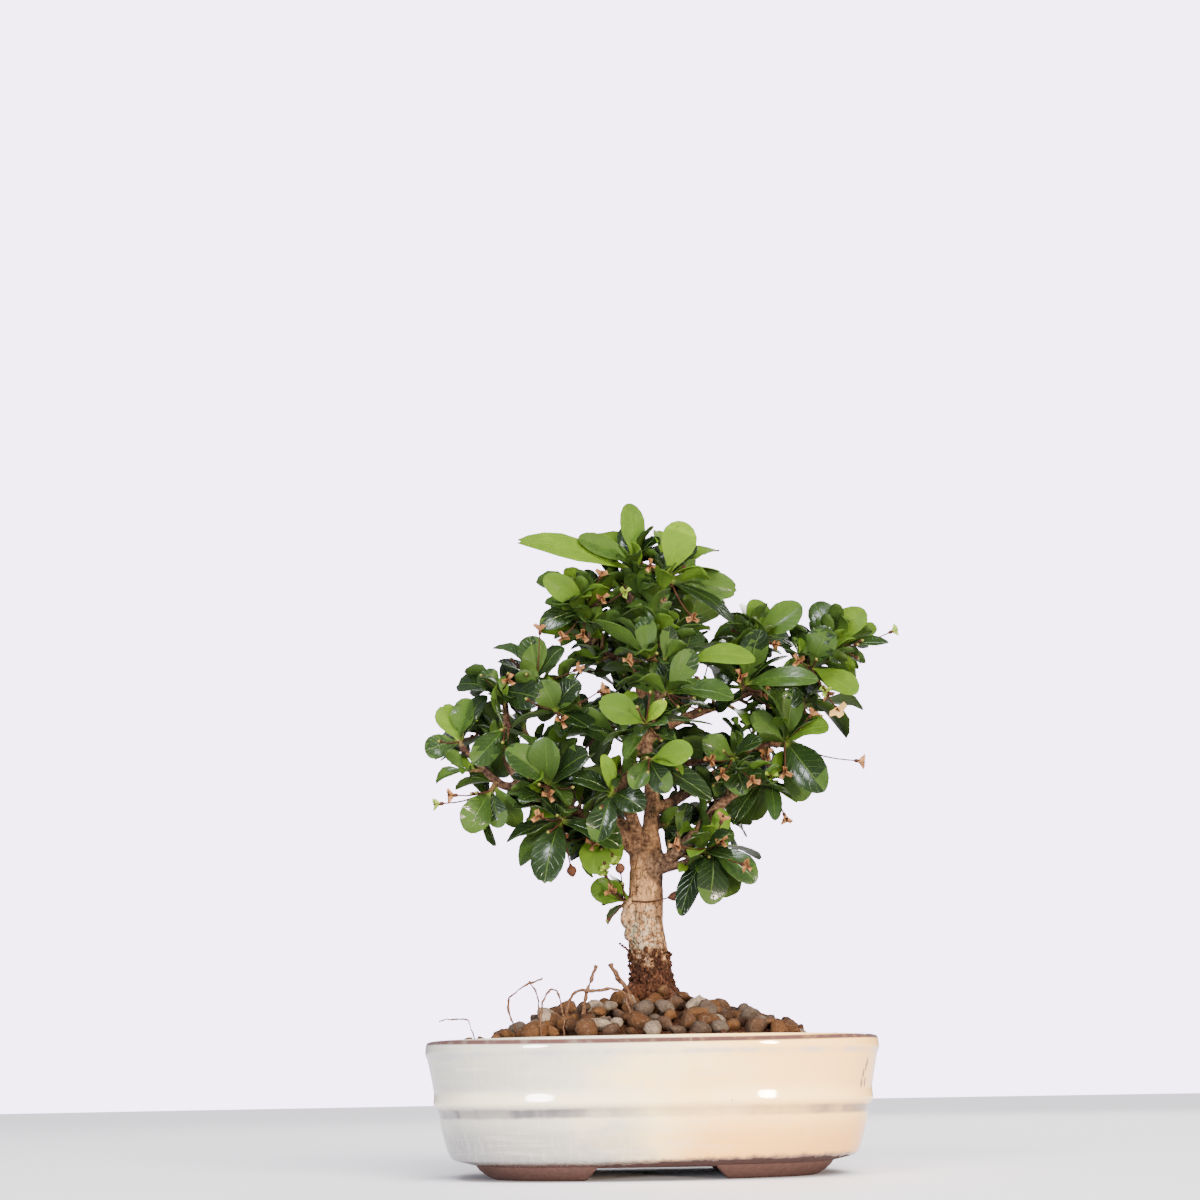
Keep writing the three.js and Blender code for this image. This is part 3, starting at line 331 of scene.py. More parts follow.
def modified(bm, build):
    """Runs modifiers on a bmesh: build(object) adds them, and the result comes back"""
    work = new_object("work", to_mesh("work", bm))
    helpers = build(work) or []
    shape = work.evaluated_get(bpy.context.evaluated_depsgraph_get())
    result = bmesh.new()
    result.from_mesh(shape.to_mesh())
    shape.to_mesh_clear()
    for thing in [work, *helpers]:
        bpy.data.objects.remove(thing)
    return result


def only(kind, geometry):
    return [item for item in geometry if isinstance(item, kind)]


def edges_of(verts):
    return list({edge for vert in verts for edge in vert.link_edges})


def faces_of(verts):
    return list({face for vert in verts for face in vert.link_faces})


def extruded(bm, edges):
    """Extrudes a ring, and gives the new ring's vertices and edges"""
    grown = bmesh.ops.extrude_edge_only(bm, edges=edges)["geom"]
    return only(bmesh.types.BMVert, grown), only(bmesh.types.BMEdge, grown)


def smooth_path(points, count):
    """Places evenly along a smooth curve through the points"""
    points = [Vector(point) for point in points]
    knots = [2 * points[0] - points[1], *points, 2 * points[-1] - points[-2]]
    places = []
    for step in range(count):
        share = step / (count - 1) * (len(points) - 1)
        before = min(int(share), len(points) - 2)
        t = share - before
        a, b, c, d = knots[before:before + 4]
        bend = (2 * a - 5 * b + 4 * c - d) + t * (3 * b - a - 3 * c + d)
        places.append(b + t * 0.5 * ((c - a) + t * bend))
    return places


def radius_at(radii, share):
    place = share * (len(radii) - 1)
    before = min(int(place), len(radii) - 2)
    return radii[before] + (radii[before + 1] - radii[before]) * (place - before)


def turn_to(way):
    """The turn that takes straight up to a direction"""
    return Vector((0, 0, 1)).rotation_difference(way).to_matrix().to_4x4()


def sweep(bm, places, radii, sides):
    """A round tube along places: a circle that is extruded and turned step by step"""
    last = len(places) - 1
    ways = [(places[min(i + 1, last)] - places[max(i - 1, 0)]).normalized()
            for i in range(len(places))]
    start = Matrix.Translation(places[0]) @ turn_to(ways[0])
    ring = bmesh.ops.create_circle(bm, cap_ends=True, segments=sides, radius=radii[0],
                                   matrix=start)["verts"]
    made = list(ring)
    edges = edges_of(ring)
    for i in range(1, len(places)):
        ring, edges = extruded(bm, edges)
        bend = ways[i - 1].rotation_difference(ways[i]).to_matrix().to_4x4()
        size = Matrix.Scale(radii[i] / radii[i - 1], 4)
        step = Matrix.Translation(places[i]) @ bend @ size @ Matrix.Translation(-places[i - 1])
        bmesh.ops.transform(bm, matrix=step, verts=ring)
        made += ring
    bmesh.ops.contextual_create(bm, geom=edges)
    bmesh.ops.recalc_face_normals(bm, faces=faces_of(made))


print("mesh helpers ready")

# %% [markdown]
# ## Stage and light
# The stage is a wide pale floor under an even sky. A broad, soft sun in front and above
# lights leaves, bark and floor alike. Two soft boxes stand low behind the camera, one cool
# and one warm, and the glaze mirrors them as small bright patches. A high one does the same
# for the waxy leaves, and a weak one lights the back. The sun itself isn't mirrored, or its
# wide disc would lay a grey veil on every leaf. The sky gives little light of its own, so
# that the shade inside the crown stays deep, but it looks as pale as a studio wall to the
# camera from every side.

# %% Floor and sky
FLOOR_RADIUS = 6.0
FLOOR_SIDES = 96
FLOOR_COLOUR = rgb(0.86, 0.83, 0.88)
FLOOR_ROUGHNESS = 0.6
SKY_LIGHT = rgb(0.42, 0.42, 0.47)
SKY_SEEN = rgb(5.6, 4.8, 6.4)

floor_mesh = bmesh.new()
bmesh.ops.create_circle(floor_mesh, cap_ends=True, segments=FLOOR_SIDES, radius=FLOOR_RADIUS)
floor = new_object("floor", to_mesh("floor", floor_mesh))
floor_paint = bpy.data.materials.new("pale_floor")
floor_paint.use_nodes = True
floor_shader = floor_paint.node_tree.nodes["Principled BSDF"]
feed(floor_shader.inputs["Base Color"], FLOOR_COLOUR)
feed(floor_shader.inputs["Roughness"], FLOOR_ROUGHNESS)
floor.data.materials.append(floor_paint)

world = bpy.data.worlds.new("pale_sky")
world.use_nodes = True
seen = Value(add_node(world.node_tree, "LightPath").outputs["Is Camera Ray"])
background = world.node_tree.nodes["Background"]
feed(background.inputs["Color"], blended(seen, SKY_LIGHT, SKY_SEEN))
bpy.context.scene.world = world
print("floor of", 2 * FLOOR_RADIUS, "m across")

# %% Sun and soft boxes
SUN_PLACE = (0.35, -0.85, 0.95)
SUN_STRENGTH = 7.4
SUN_SPREAD = 40
SUN_COLOUR = (1.0, 0.98, 0.95)
LIGHT_AIM = Vector((0, 0, 0.14))
# Name, place in metres, width, height, watts, colour
SOFT_BOXES = [
    ("soft_box_left", (-0.76, -1.33, 0.15), 0.34, 0.28, 30, (0.90, 0.95, 1.0)),
    ("soft_box_right", (0.75, -1.34, 0.15), 0.23, 0.28, 52, (1.0, 0.86, 0.66)),
    ("soft_box_high", (-0.45, -0.95, 1.25), 0.45, 0.35, 17, (0.93, 0.96, 1.0)),
    ("soft_box_back", (0.5, 1.2, 1.0), 0.9, 0.9, 16, (1.0, 0.97, 0.93)),
]


def add_light(light_data, place):
    """Puts a light in its place and points it at the crown"""
    light = new_object(light_data.name, light_data)
    aim = (LIGHT_AIM - Vector(place)).to_track_quat("-Z", "Y")
    light.matrix_world = Matrix.Translation(place) @ aim.to_matrix().to_4x4()
    return light


sun = bpy.data.lights.new("soft_sun", "SUN")
sun.energy = SUN_STRENGTH
sun.angle = math.radians(SUN_SPREAD)
sun.color = SUN_COLOUR
add_light(sun, SUN_PLACE).visible_glossy = False
for name, place, width, height, watts, colour in SOFT_BOXES:
    soft_box = bpy.data.lights.new(name, "AREA")
    soft_box.shape = "ELLIPSE"
    soft_box.size = width
    soft_box.size_y = height
    soft_box.energy = watts
    soft_box.color = colour
    add_light(soft_box, place)
print("lights:", 1 + len(SOFT_BOXES))

# %% [markdown]
# ## The pot
# A potter makes an oval pot in a mould: one thick wall with a lip, a step half way down and
# a belly that turns in to the foot. In Blender the same form is a loft. A circle is bent to
# a rounded oval once. Each further ring is an extrusion, scaled to its own length and
# width and lifted to its height, because the walls keep one inset all round. The feet are
# one band cut by slanted planes to a quarter, and mirrored to the other three corners.

# %% The oval and its loft
POT_LENGTH = 197
POT_WIDTH = 152
POT_HEIGHT = 56
POT_ROUNDNESS = 2.8
HALF_LENGTH = POT_LENGTH / 2
OVAL_INSET = (POT_LENGTH - POT_WIDTH) / 2
POT_SIDES = 112
FOOT_SIDES = 92


def inset_ring(height, half_length):
    """A ring of the pot: every one lies the same distance in from the one outside it"""
    return (height, half_length, half_length - OVAL_INSET)


def oval_share(x, y, half_length, half_width):
    """0 in the middle of the oval and 1 on its edge"""
    along = abs(x / half_length) ** POT_ROUNDNESS
    across = abs(y / half_width) ** POT_ROUNDNESS
    return (along + across) ** (1 / POT_ROUNDNESS)


def oval_loft(bm, rings, sides=POT_SIDES):
    """Rings of (height, half length, half width) joined by walls, with a face at each end"""
    height, half_length, half_width = rings[0]
    ring = bmesh.ops.create_circle(bm, cap_ends=True, segments=sides, radius=1)["verts"]
    for vert in ring:
        bent = [math.copysign(abs(value) ** (2 / POT_ROUNDNESS), value) for value in vert.co.xy]
        vert.co = (bent[0] * half_length, bent[1] * half_width, height)
    edges = edges_of(ring)
    for next_height, next_length, next_width in rings[1:]:
        ring, edges = extruded(bm, edges)
        growth = (next_length / half_length, next_width / half_width, 1)
        bmesh.ops.scale(bm, vec=growth, verts=ring)
        bmesh.ops.translate(bm, vec=(0, 0, next_height - height), verts=ring)
        height, half_length, half_width = next_height, next_length, next_width
    bmesh.ops.contextual_create(bm, geom=edges)
    bmesh.ops.recalc_face_normals(bm, faces=bm.faces)


print("pot's rim:", [2 * value for value in inset_ring(POT_HEIGHT, HALF_LENGTH)[1:]])

# %% The wall and floor of the pot
FLOOR_TOP = 15
# Height and half the length, from the middle of the floor up the inside and down the outside
POT_PROFILE = [
    # Floor and inner wall
    [FLOOR_TOP, 60], [FLOOR_TOP, 74], [15.6, 77.6], [18, 80.5], [30, 85.2], [44, 89.5],
    [50, 91.4], [54, 92.0], [55.4, 92.4],
    # Lip, flat on top and round outside
    [56, 93.4], [56, 97.0], [55.8, 97.7], [55.3, 98.05], [54.4, 98.3], [53.4, 98.42],
    [52.4, 98.48], [51.6, 98.5], [50.8, 98.4], [50, 98.1], [49, 97.6],
    # Upper wall, which ends on an upright ledge
    [47, 97.05], [45, 96.6], [40, 95.5], [37, 94.9], [36, 94.72], [35, 94.62], [34, 94.60],
    [33, 94.63], [32, 94.68], [31, 94.74],
    # Step in to the belly
    [30.2, 94.68], [29.4, 94.3], [28.6, 93.7], [27.7, 93.0], [26.6, 92.45], [25.5, 92.25],
    # Belly and the corner round to the underside
    [24, 92.1], [21, 91.5], [16, 90.1], [12, 88.8], [9.6, 87.8], [8.6, 87.1], [7.9, 86.0],
    [7.2, 84.0], [6.5, 81.2], [5.8, 78.2], [5.2, 75.4], [4.9, 72.5], [4.9, 60],
]

pot_mesh = bmesh.new()
oval_loft(pot_mesh, [inset_ring(*ring) for ring in POT_PROFILE])
print("pot wall:", len(pot_mesh.faces), "faces")

# %% Four feet from one band
FOOT_TOP = 8
FOOT_TOP_HALF = 78.5
FOOT_HALF = 70.5
FOOT_BAND = 13
FRONT_GAP = 20.5
SIDE_GAP = 16
GAP_SLOPE = 9
FOOT_SINK = 1.5
CLAY_ROUND = 0.8
FOOT_CREASE = 40
QUAD = 4
X_AXIS, Y_AXIS, Z_AXIS = Vector((1, 0, 0)), Vector((0, 1, 0)), Vector((0, 0, 1))


def everything(bm):
    return [*bm.verts, *bm.edges, *bm.faces]


def open_rims(bm):
    return [edge for edge in bm.edges if edge.is_boundary]


foot_mesh = bmesh.new()
top = FOOT_TOP + FOOT_SINK
# The foot's outer side, from the table up: height and how far out from its lowest edge
FOOT_CURVE = [[0, 0], [0.8, 1.8], [2, 3.6], [4, 5.6], [6, 7.0], [FOOT_TOP, 7.8], [top, 8.2]]
foot_rings = [[top, FOOT_TOP_HALF - FOOT_BAND], [0, FOOT_HALF - FOOT_BAND]]
foot_rings += [[height, FOOT_HALF + out] for height, out in FOOT_CURVE]
oval_loft(foot_mesh, [inset_ring(*ring) for ring in foot_rings], FOOT_SIDES)
caps = [face for face in foot_mesh.faces if len(face.verts) > QUAD]
bmesh.ops.delete(foot_mesh, geom=caps, context="FACES_ONLY")
bmesh.ops.bridge_loops(foot_mesh, edges=open_rims(foot_mesh))
for gap, axis in ((FRONT_GAP, X_AXIS), (SIDE_GAP, Y_AXIS)):
    slant = axis * (FOOT_TOP + 2) + Z_AXIS * GAP_SLOPE
    bmesh.ops.bisect_plane(foot_mesh, geom=everything(foot_mesh), plane_no=slant,
                           plane_co=axis * gap + Z_AXIS * (FOOT_TOP + 1), clear_inner=True)
    bmesh.ops.edgeloop_fill(foot_mesh, edges=open_rims(foot_mesh))
sharp = [edge for edge in foot_mesh.edges
         if edge.calc_face_angle(0) > math.radians(FOOT_CREASE)]
bmesh.ops.bevel(foot_mesh, geom=sharp, offset=CLAY_ROUND, affect="EDGES", segments=2,
                profile=0.5, material=-1)
many_sided = [face for face in foot_mesh.faces if len(face.verts) > QUAD]
bmesh.ops.triangulate(foot_mesh, faces=many_sided)
for axis in ("X", "Y"):
    bmesh.ops.mirror(foot_mesh, geom=everything(foot_mesh), axis=axis, merge_dist=-1)
for vert in foot_mesh.verts:
    vert.co.z = max(vert.co.z, 0)
bmesh.ops.recalc_face_normals(foot_mesh, faces=foot_mesh.faces)
lowest = min(vert.co.z for vert in foot_mesh.verts)
print("feet:", len(foot_mesh.faces), "faces, lowest", round(lowest, 3))

# %% [markdown]
# Two drain holes are cut right through the floor by a Boolean modifier. The feet are pressed
# to the body while the clay is soft, so their mesh joins the body's, with its top sunk in.

# %% Cut the drain holes and join the feet
DRAIN_RADIUS = 9
DRAIN_OFFSET = 42
DRAIN_SIDES = 40

drain_mesh = bmesh.new()
for x in (-DRAIN_OFFSET, DRAIN_OFFSET):
    bmesh.ops.create_cone(drain_mesh, cap_ends=True, segments=DRAIN_SIDES,
                          radius1=DRAIN_RADIUS, radius2=DRAIN_RADIUS, depth=2 * FLOOR_TOP,
                          matrix=Matrix.Translation((x, 0, FLOOR_TOP)))
drain_data, foot_data = to_mesh("drains", drain_mesh), to_mesh("feet", foot_mesh)


def cut_drains(work):
    drains = new_object("drains", drain_data)
    cut = work.modifiers.new("cut", "BOOLEAN")
    cut.object = drains
    cut.operation = "DIFFERENCE"
    cut.solver = "EXACT"
    return [drains]


pot_mesh = modified(pot_mesh, cut_drains)
pot_mesh.from_mesh(foot_data)
torn = [edge for edge in pot_mesh.edges if not edge.is_manifold]
print("pot with feet and holes:", len(pot_mesh.faces), "faces,", len(torn), "open edges")

# %% [markdown]
# ## Glaze and clay
# The glaze is a thick cream glass. Painted shade darkens it in a band under the step, under
# the lip and down the belly, and painted light turns it grey on the left and warm on the right.
# It breaks thin and brown along the lip's edge, and stops in an uneven line above the feet,
# where the bare red-brown clay shows. Height above the table tells the bands apart, so the
# material reads the object's own z, and noise bends each border.

# %% Glaze: painted cool and warm light on the cream, and painted shade below the step
LOWER_SHADE_FROM, LOWER_SHADE_TO = 27, 14
BACK_LIGHT_SHARE = 0.4
LEDGE_SHARE = 0.55

glaze = Finish("cream_glaze", IOR=1.5)
cloud = glaze.noise((0.02, 0.02, 0.05), 4)
streak = glaze.noise((0.03, 0.03, 0.5), 4)
ripple = glaze.noise((0.12, 0.12, 0.2), 2)
runs = glaze.noise((0.5, 0.5, 0.04), 4)
fine = glaze.noise(1.6, 2)

# Painted light: cool grey on the left, cream in the middle, warm on the right. Painted shade
# dulls it more from the step down. No photograph shows the back, so it is plain cream.
painted_light_across = ramp(glaze.x + (cloud - 0.5) * 120, -95, 95)
back = ramp(glaze.y, -15, 45)
painted_light_across = painted_light_across * (1 - back) + back * BACK_LIGHT_SHARE
cream = colour_ramp(
    painted_light_across, (0.0, 0.50, 0.475, 0.39), (0.28, 0.66, 0.60, 0.44), (0.52, 0.92, 0.70, 0.35),
    (0.78, 0.95, 0.62, 0.21), (1.0, 0.95, 0.60, 0.20))
# Painted shade: a darker copy of the cream, mixed in more and more from the step down
shaded_cream = colour_ramp(
    painted_light_across, (0.0, 0.20, 0.195, 0.195), (0.28, 0.31, 0.29, 0.25), (0.52, 0.76, 0.53, 0.24),
    (0.78, 0.74, 0.37, 0.087), (1.0, 0.65, 0.32, 0.078))
cream = blended(ramp(glaze.z, LOWER_SHADE_FROM, LOWER_SHADE_TO, 0.4, 1.0), cream, shaded_cream)
cool_side = ramp(glaze.x, -10, 50, 1.0, 0.2)
cream = blended(ramp(streak, 0.5, 0.68, 0.0, 0.3) * cool_side, cream, rgb(0.56, 0.50, 0.46))
cream = blended(ramp(runs, 0.5, 0.7, 0.0, 0.2) * cool_side, cream, rgb(0.60, 0.54, 0.48))
# A warmer band on the upright ledge above the step, whose colour follows the painted light across
# the pot
warm_ledge = ramp(glaze.z, 28, 31) * ramp(glaze.z, 32, 37, 1.0, 0.0)
ledge_colour = blended(painted_light_across, rgb(0.90, 0.76, 0.52), rgb(0.98, 0.66, 0.25))
cream = blended(warm_ledge * LEDGE_SHARE, cream, ledge_colour)
print("glaze colours for", glaze.material.name)

# %% Glaze: the painted shadow under the step, the painted shade under the lip and the brown edge
STEP_HEIGHT = 26.5
UNDER_LIP = 49.6
BROWN_EDGE = 53.9
EDGE_RISE = 1.6
EDGE_END = 95

level = glaze.z + (ripple - 0.5) * 1.2


def band(height, half, soft):
    """1 within half of a height and 0 beyond soft more"""
    return ramp(abs(level - height), half, half + soft, 1.0, 0.0)


from_middle = abs(glaze.x)
patch = ramp(glaze.noise((0.06, 0.06, 0.02)), 0.36, 0.6)
# Painted shadow: a near-black band under the step, strongest at the sides and broken by noise
step_shadow_sides = math_of("MAXIMUM", ramp(glaze.x, -50, 5, 1.0, 0.35), ramp(glaze.x, 15, 75, 0.3, 0.8))
step_shadow_share = step_shadow_sides * ramp(patch, 0, 1, 0.65, 1)
cream = blended(band(STEP_HEIGHT, 1.0, 1.6) * step_shadow_share, cream, rgb(0.085, 0.076, 0.084))
under_lip = band(UNDER_LIP, 0.3, 1.3) * ramp(patch, 0, 1, 0.5, 0.05)
cream = blended(under_lip, cream, rgb(0.32, 0.33, 0.42))
# The brown edge climbs a little towards the pot's ends
edge_height = (from_middle * (1 / EDGE_END)) ** 3 * EDGE_RISE + BROWN_EDGE
from_edge = abs(glaze.z - edge_height)
edge_patch = glaze.noise((0.2, 0.2, 0.2))
edge_line = ramp(from_edge, 0.55, 1.3, 1.0, 0.0) * ramp(edge_patch, 0.3, 0.5, 0.88, 1.0)
cream = blended(edge_line, cream, rgb(0.075, 0.036, 0.032))

# %% Glaze: specks, pits, and where it stops above the clay
SPECK_SHARE = 0.6
# A few dark pits near the right end, drawn out downwards
PITS = [(88.9, -42.3, 44.5), (88.2, -42.6, 42.8), (86.7, -43.9, 40), (85.6, -44.1, 36.3),
        (87.3, -41.2, 36.6)]
PIT_SQUASH = 0.45
EDGE_AT_LEFT, EDGE_AT_RIGHT = 5.9, 7.9

speck = glaze.cells(0.2)
speck_size = ramp(glaze.noise(0.11, 1), 0.5, 0.75, 0.0, 0.09)
is_speck = math_of("LESS_THAN", speck, speck_size)
cream = blended(is_speck * SPECK_SHARE, cream, rgb(0.14, 0.08, 0.05))
for x, y, z in PITS:
    squashed, _ = glaze.scaled((1, 1, PIT_SQUASH))
    away = add_node(glaze.tree, "VectorMath", {"operation": "DISTANCE"}, Vector=squashed)
    feed(away.inputs[1], (x, y, z * PIT_SQUASH))
    pit = ramp(Value(away.outputs["Value"]), 0.7, 1.2, 0.85, 0.0)
    cream = blended(pit, cream, rgb(0.10, 0.05, 0.03))

glaze_end = glaze.z + ((ripple - 0.5) * 2.2 + (runs - 0.5) * 2.0)
past_edge = glaze_end - ramp(glaze.x, -40, 40, EDGE_AT_LEFT, EDGE_AT_RIGHT)
on_clay = ramp(past_edge, 0.0, 0.5, 1.0, 0.0)
thin_glaze = ramp(past_edge, 0.2, 2.4, 1.0, 0.0)
cream = blended(thin_glaze, cream, rgb(0.10, 0.065, 0.05))
clay = blended(glaze.noise(0.5, 5), rgb(0.04, 0.019, 0.015), rgb(0.095, 0.050, 0.042))
clay = blended(ramp(glaze.z, 5.5, 8, 0.0, 0.6), clay, rgb(0.025, 0.013, 0.010))
glaze.set(
    Base_Color=blended(on_clay, cream, clay),
    Roughness=ramp(on_clay, 0, 1, 0.07, 0.75),
    Specular_IOR_Level=ramp(on_clay, 0, 1, 0.5, 0.15),
    Normal=bump_of(blended(on_clay, ripple * 0.22, fine), 0.4, 0.5),
)
pot = add_piece("glazed_pot", pot_mesh, [glaze], ["pot"], crease=50)
print("glazed_pot:", triangles(pot), "triangles")

# %% [markdown]
# ## Soil
# The soil fills the pot and rises in a mound to the trunk, with a crumbly collar of peat
# round its foot. Water and a gardener's fingers leave it uneven, so the loft's top rings
# are moved up and down by noise, and crumbs lie on it where no pebble does. They are rough
# little balls, because a crumb's shape doesn't matter at this size but its shadow does.

# %% The mound
SOIL_HALF = 90.8
SOIL_EDGE = 50
SOIL_FLOOR = 16.8
MOUND_RISE = 20.5
MOUND_POWER = 1.15
SHORE_LEVEL = 55.3
SHORE_WIDTH = 0.04
MOUND_RINGS = 30
COLLAR_RISE = 17
COLLAR_REACH = 12
LUMP_SIZE = 0.9
TRUNK_FOOT = Vector((1.5, 0, 0))


def mound_share(x, y):
    return oval_share(x, y, SOIL_HALF, SOIL_HALF - OVAL_INSET)


def from_trunk(x, y):
    return (Vector((x, y, 0)) - TRUNK_FOOT).length


def ground(x, y):
    """The height of the soil"""
    collar = COLLAR_RISE * math.exp(-(from_trunk(x, y) / COLLAR_REACH) ** 2)
    share = min(mound_share(x, y), 1)
    mound = SOIL_EDGE + MOUND_RISE * (1 - share ** MOUND_POWER)
    shore = SOIL_EDGE + (SHORE_LEVEL - SOIL_EDGE) * min((1 - share) / SHORE_WIDTH, 1)
    return max(mound, shore) + collar


soil_mesh = bmesh.new()
rings = [inset_ring(SOIL_FLOOR, 60), inset_ring(SOIL_FLOOR, 75), inset_ring(20, 80.4),
         inset_ring(SOIL_EDGE, SOIL_HALF)]
for k in range(1, MOUND_RINGS):
    share = 1 - k / MOUND_RINGS
    rings.append((SOIL_EDGE, SOIL_HALF * share, (SOIL_HALF - OVAL_INSET) * share))
oval_loft(soil_mesh, rings)
for vert in soil_mesh.verts:
    if vert.co.z == SOIL_EDGE:
        lumps = noise.fractal(vert.co * 0.16, 1.0, 2.0, 4)
        vert.co.z = ground(vert.co.x, vert.co.y) + lumps * LUMP_SIZE
print("mound:", len(soil_mesh.faces), "faces")

# %% Crumbs and moss
GRAIN_COUNT = 1900
SOIL_SEED = 11
# Of the crumbs, this share clings to the trunk, and the next lies round its foot
CLINGING, ROUND_FOOT = 0.3, 0.4
CLING_FOOT, CLING_HEIGHT = 77, 18
TRUNK_GIRTH, TRUNK_TAPER, TRUNK_LEAN = 9.3, 0.03, 0.08
COLLAR_GIRTH = 8.8
CRUMB_LIFT = 0.3
SHORE_HALF = (88, 65)
SHORE_SHARES = (0.72, 0.97)
MOSS_CRUMBS = 14
MOSS_X, MOSS_Y, MOSS_Z = -8.5, -4, 94.5
MOSS_OUT, MOSS_UP, MOSS_SPREAD = 0.33, 0.22, 0.8


draw = seeded(SOIL_SEED)
for _ in range(GRAIN_COUNT):
    kind = draw()
    if kind < CLINGING:
        climb = CLING_HEIGHT * draw() ** 1.6
        angle = draw() * 2 * math.pi
        reach = TRUNK_GIRTH - climb * TRUNK_TAPER + 0.9 * draw() ** 2
        x = TRUNK_FOOT.x - climb * TRUNK_LEAN + reach * math.cos(angle)
        y, z = reach * math.sin(angle), CLING_FOOT + climb
        size = pick(draw, 0.5, 1.0, 2)
    elif kind < CLINGING + ROUND_FOOT:
        angle = draw() * 2 * math.pi
        reach = pick(draw, COLLAR_GIRTH, 7.5, 1.3)
        x, y = TRUNK_FOOT.x + reach * math.cos(angle), reach * math.sin(angle)
        size = pick(draw, 0.7, 1.5, 2)
        z = ground(x, y) + size * CRUMB_LIFT
    else:
        x, y = [(2 * draw() - 1) * half for half in SHORE_HALF]
        size = pick(draw, 0.6, 1.9, 3)
        z = ground(x, y) + size * CRUMB_LIFT
        if not SHORE_SHARES[0] < mound_share(x, y) < SHORE_SHARES[1]:
            continue
    turn = any_turn(draw)
    shape = Matrix.Diagonal((size, size * pick(draw, 0.6, 0.5), size * pick(draw, 0.5, 0.4), 1))
    bmesh.ops.create_icosphere(soil_mesh, subdivisions=1, radius=1,
                               matrix=Matrix.Translation((x, y, z)) @ turn @ shape)

# A tuft of dead moss sticks out of the trunk's left
for step in range(MOSS_CRUMBS):
    height = MOSS_Z + MOSS_UP * step + MOSS_SPREAD * draw()
    place = Vector((MOSS_X - MOSS_OUT * step, MOSS_Y, height))
    bmesh.ops.create_icosphere(soil_mesh, subdivisions=1, radius=pick(draw, 0.35, 0.3),
                               matrix=Matrix.Translation(place))
print("mound with crumbs:", len(soil_mesh.faces), "faces")

# %% Soil material
soil_finish = Finish("crumbly_soil", Specular_IOR_Level=0.1)
crumbs = soil_finish.noise(0.9, 6, 0.7)
patches = soil_finish.noise(0.09)
earth = colour_ramp(
    crumbs, (0.35, 0.008, 0.003, 0.002), (0.5, 0.030, 0.011, 0.006), (0.7, 0.10, 0.042, 0.020))
soil_finish.set(
    Base_Color=blended(ramp(patches, 0.45, 0.7, 0, 0.6), earth, rgb(0.055, 0.020, 0.008)),
    Roughness=ramp(crumbs, 0.3, 0.7, 0.95, 0.75),
    Normal=bump_of(crumbs, 0.9, 0.8),
)
soil = add_piece("soil_mound", soil_mesh, [soil_finish], ["soil"], crease=60)
print("soil_mound:", triangles(soil), "triangles")

# %% [markdown]
# ## Pebbles
# The dressing is a layer of rusty lava and river pebbles, a centimetre across. Each is a
# low ball, pressed flat by a few random planes, which is what rolling does to a broken
# stone. They sit on a jittered lattice of triangles, the loosest pattern that never piles
# two into one place, and some lie in a second layer. One attribute per stone picks its
# colour, so that a single material paints them all.

# %% Scatter the pebbles
STONE_STEP = 9.3
STONE_JITTER = 3.0
STONE_REACH, SECOND_REACH = 0.74, 0.62
SECOND_LAYER = 0.4
STONE_HEIGHT, SECOND_HEIGHT = 1.2, 4.6
FREE_OF_TRUNK = 14.5
STONE_ROWS, STONE_COLUMNS = 12, 18
STONE_SEED = 5
FLAT_SIDES = 7
PRESSED_SHARE = 0.85
LEAN_SPREAD = 1.2
# Single ones low at the ends: a big pale one on the left, then a few nearly sunk in the
# soil. Place, size, tone
END_STONES = [
    ((-58, -16, 61), 6.2, 0.86), ((-61, -26, 57.6), 3.6, 0.3), ((-67, -32, 56.6), 3.3, 0.45),
    ((-73, -25, 56.4), 3.2, 0.35), ((-79, -20, 56.2), 3.0, 0.5), ((61, -25, 57.4), 3.4, 0.3),
    ((51, -8, 62), 5.4, 0.7),
]


def add_stone(bm, tone_layer, place, draw, size=None, tone=None):
    size = size or pick(draw, 3.3, 3.5, 1.7)
    shape = Matrix.Diagonal((size, size * pick(draw, 0.72, 0.25), size * pick(draw, 0.62, 0.3), 1))
    stone = bmesh.ops.create_uvsphere(bm, u_segments=9, v_segments=6, radius=1)["verts"]
    bmesh.ops.transform(bm, matrix=any_turn(draw), verts=stone)
    for _ in range(FLAT_SIDES):
        way = Vector([either_way(draw) for _ in range(3)]).normalized()
        level = pick(draw, 0.5, 0.35)
        for vert in stone:
            above = vert.co.dot(way) - level
            if above > 0:
                vert.co -= way * above * PRESSED_SHARE
    lean = Euler((either_way(draw) * LEAN_SPREAD, either_way(draw) * LEAN_SPREAD,
                  draw() * ANY_WAY)).to_matrix().to_4x4()
    bmesh.ops.transform(bm, matrix=Matrix.Translation(place) @ lean @ shape, verts=stone)
    tone = tone or draw()
    for vert in stone:
        vert[tone_layer] = tone


gravel_mesh = bmesh.new()
tone_layer = gravel_mesh.verts.layers.float.new("tone")
draw = seeded(STONE_SEED)
stone_count = len(END_STONES)
for row in range(-STONE_ROWS, STONE_ROWS + 1):
    for column in range(-STONE_COLUMNS, STONE_COLUMNS + 1):
        x = (column + row / 2) * STONE_STEP + either_way(draw) * STONE_JITTER
        y = row * STONE_STEP * math.sqrt(0.75) + either_way(draw) * STONE_JITTER
        if mound_share(x, y) > STONE_REACH or from_trunk(x, y) < FREE_OF_TRUNK:
            continue
        place = (x, y, ground(x, y) + STONE_HEIGHT + 1.6 * draw())
        add_stone(gravel_mesh, tone_layer, place, draw)
        stone_count += 1
        if draw() < SECOND_LAYER and mound_share(x, y) < SECOND_REACH:
            x, y = x + STONE_STEP / 2, y + STONE_STEP * 0.3
            place = (x, y, ground(x, y) + SECOND_HEIGHT + 1.5 * draw())
            add_stone(gravel_mesh, tone_layer, place, draw)
            stone_count += 1
for place, size, tone in END_STONES:
    add_stone(gravel_mesh, tone_layer, place, draw, size, tone)
print("pebbles:", stone_count)

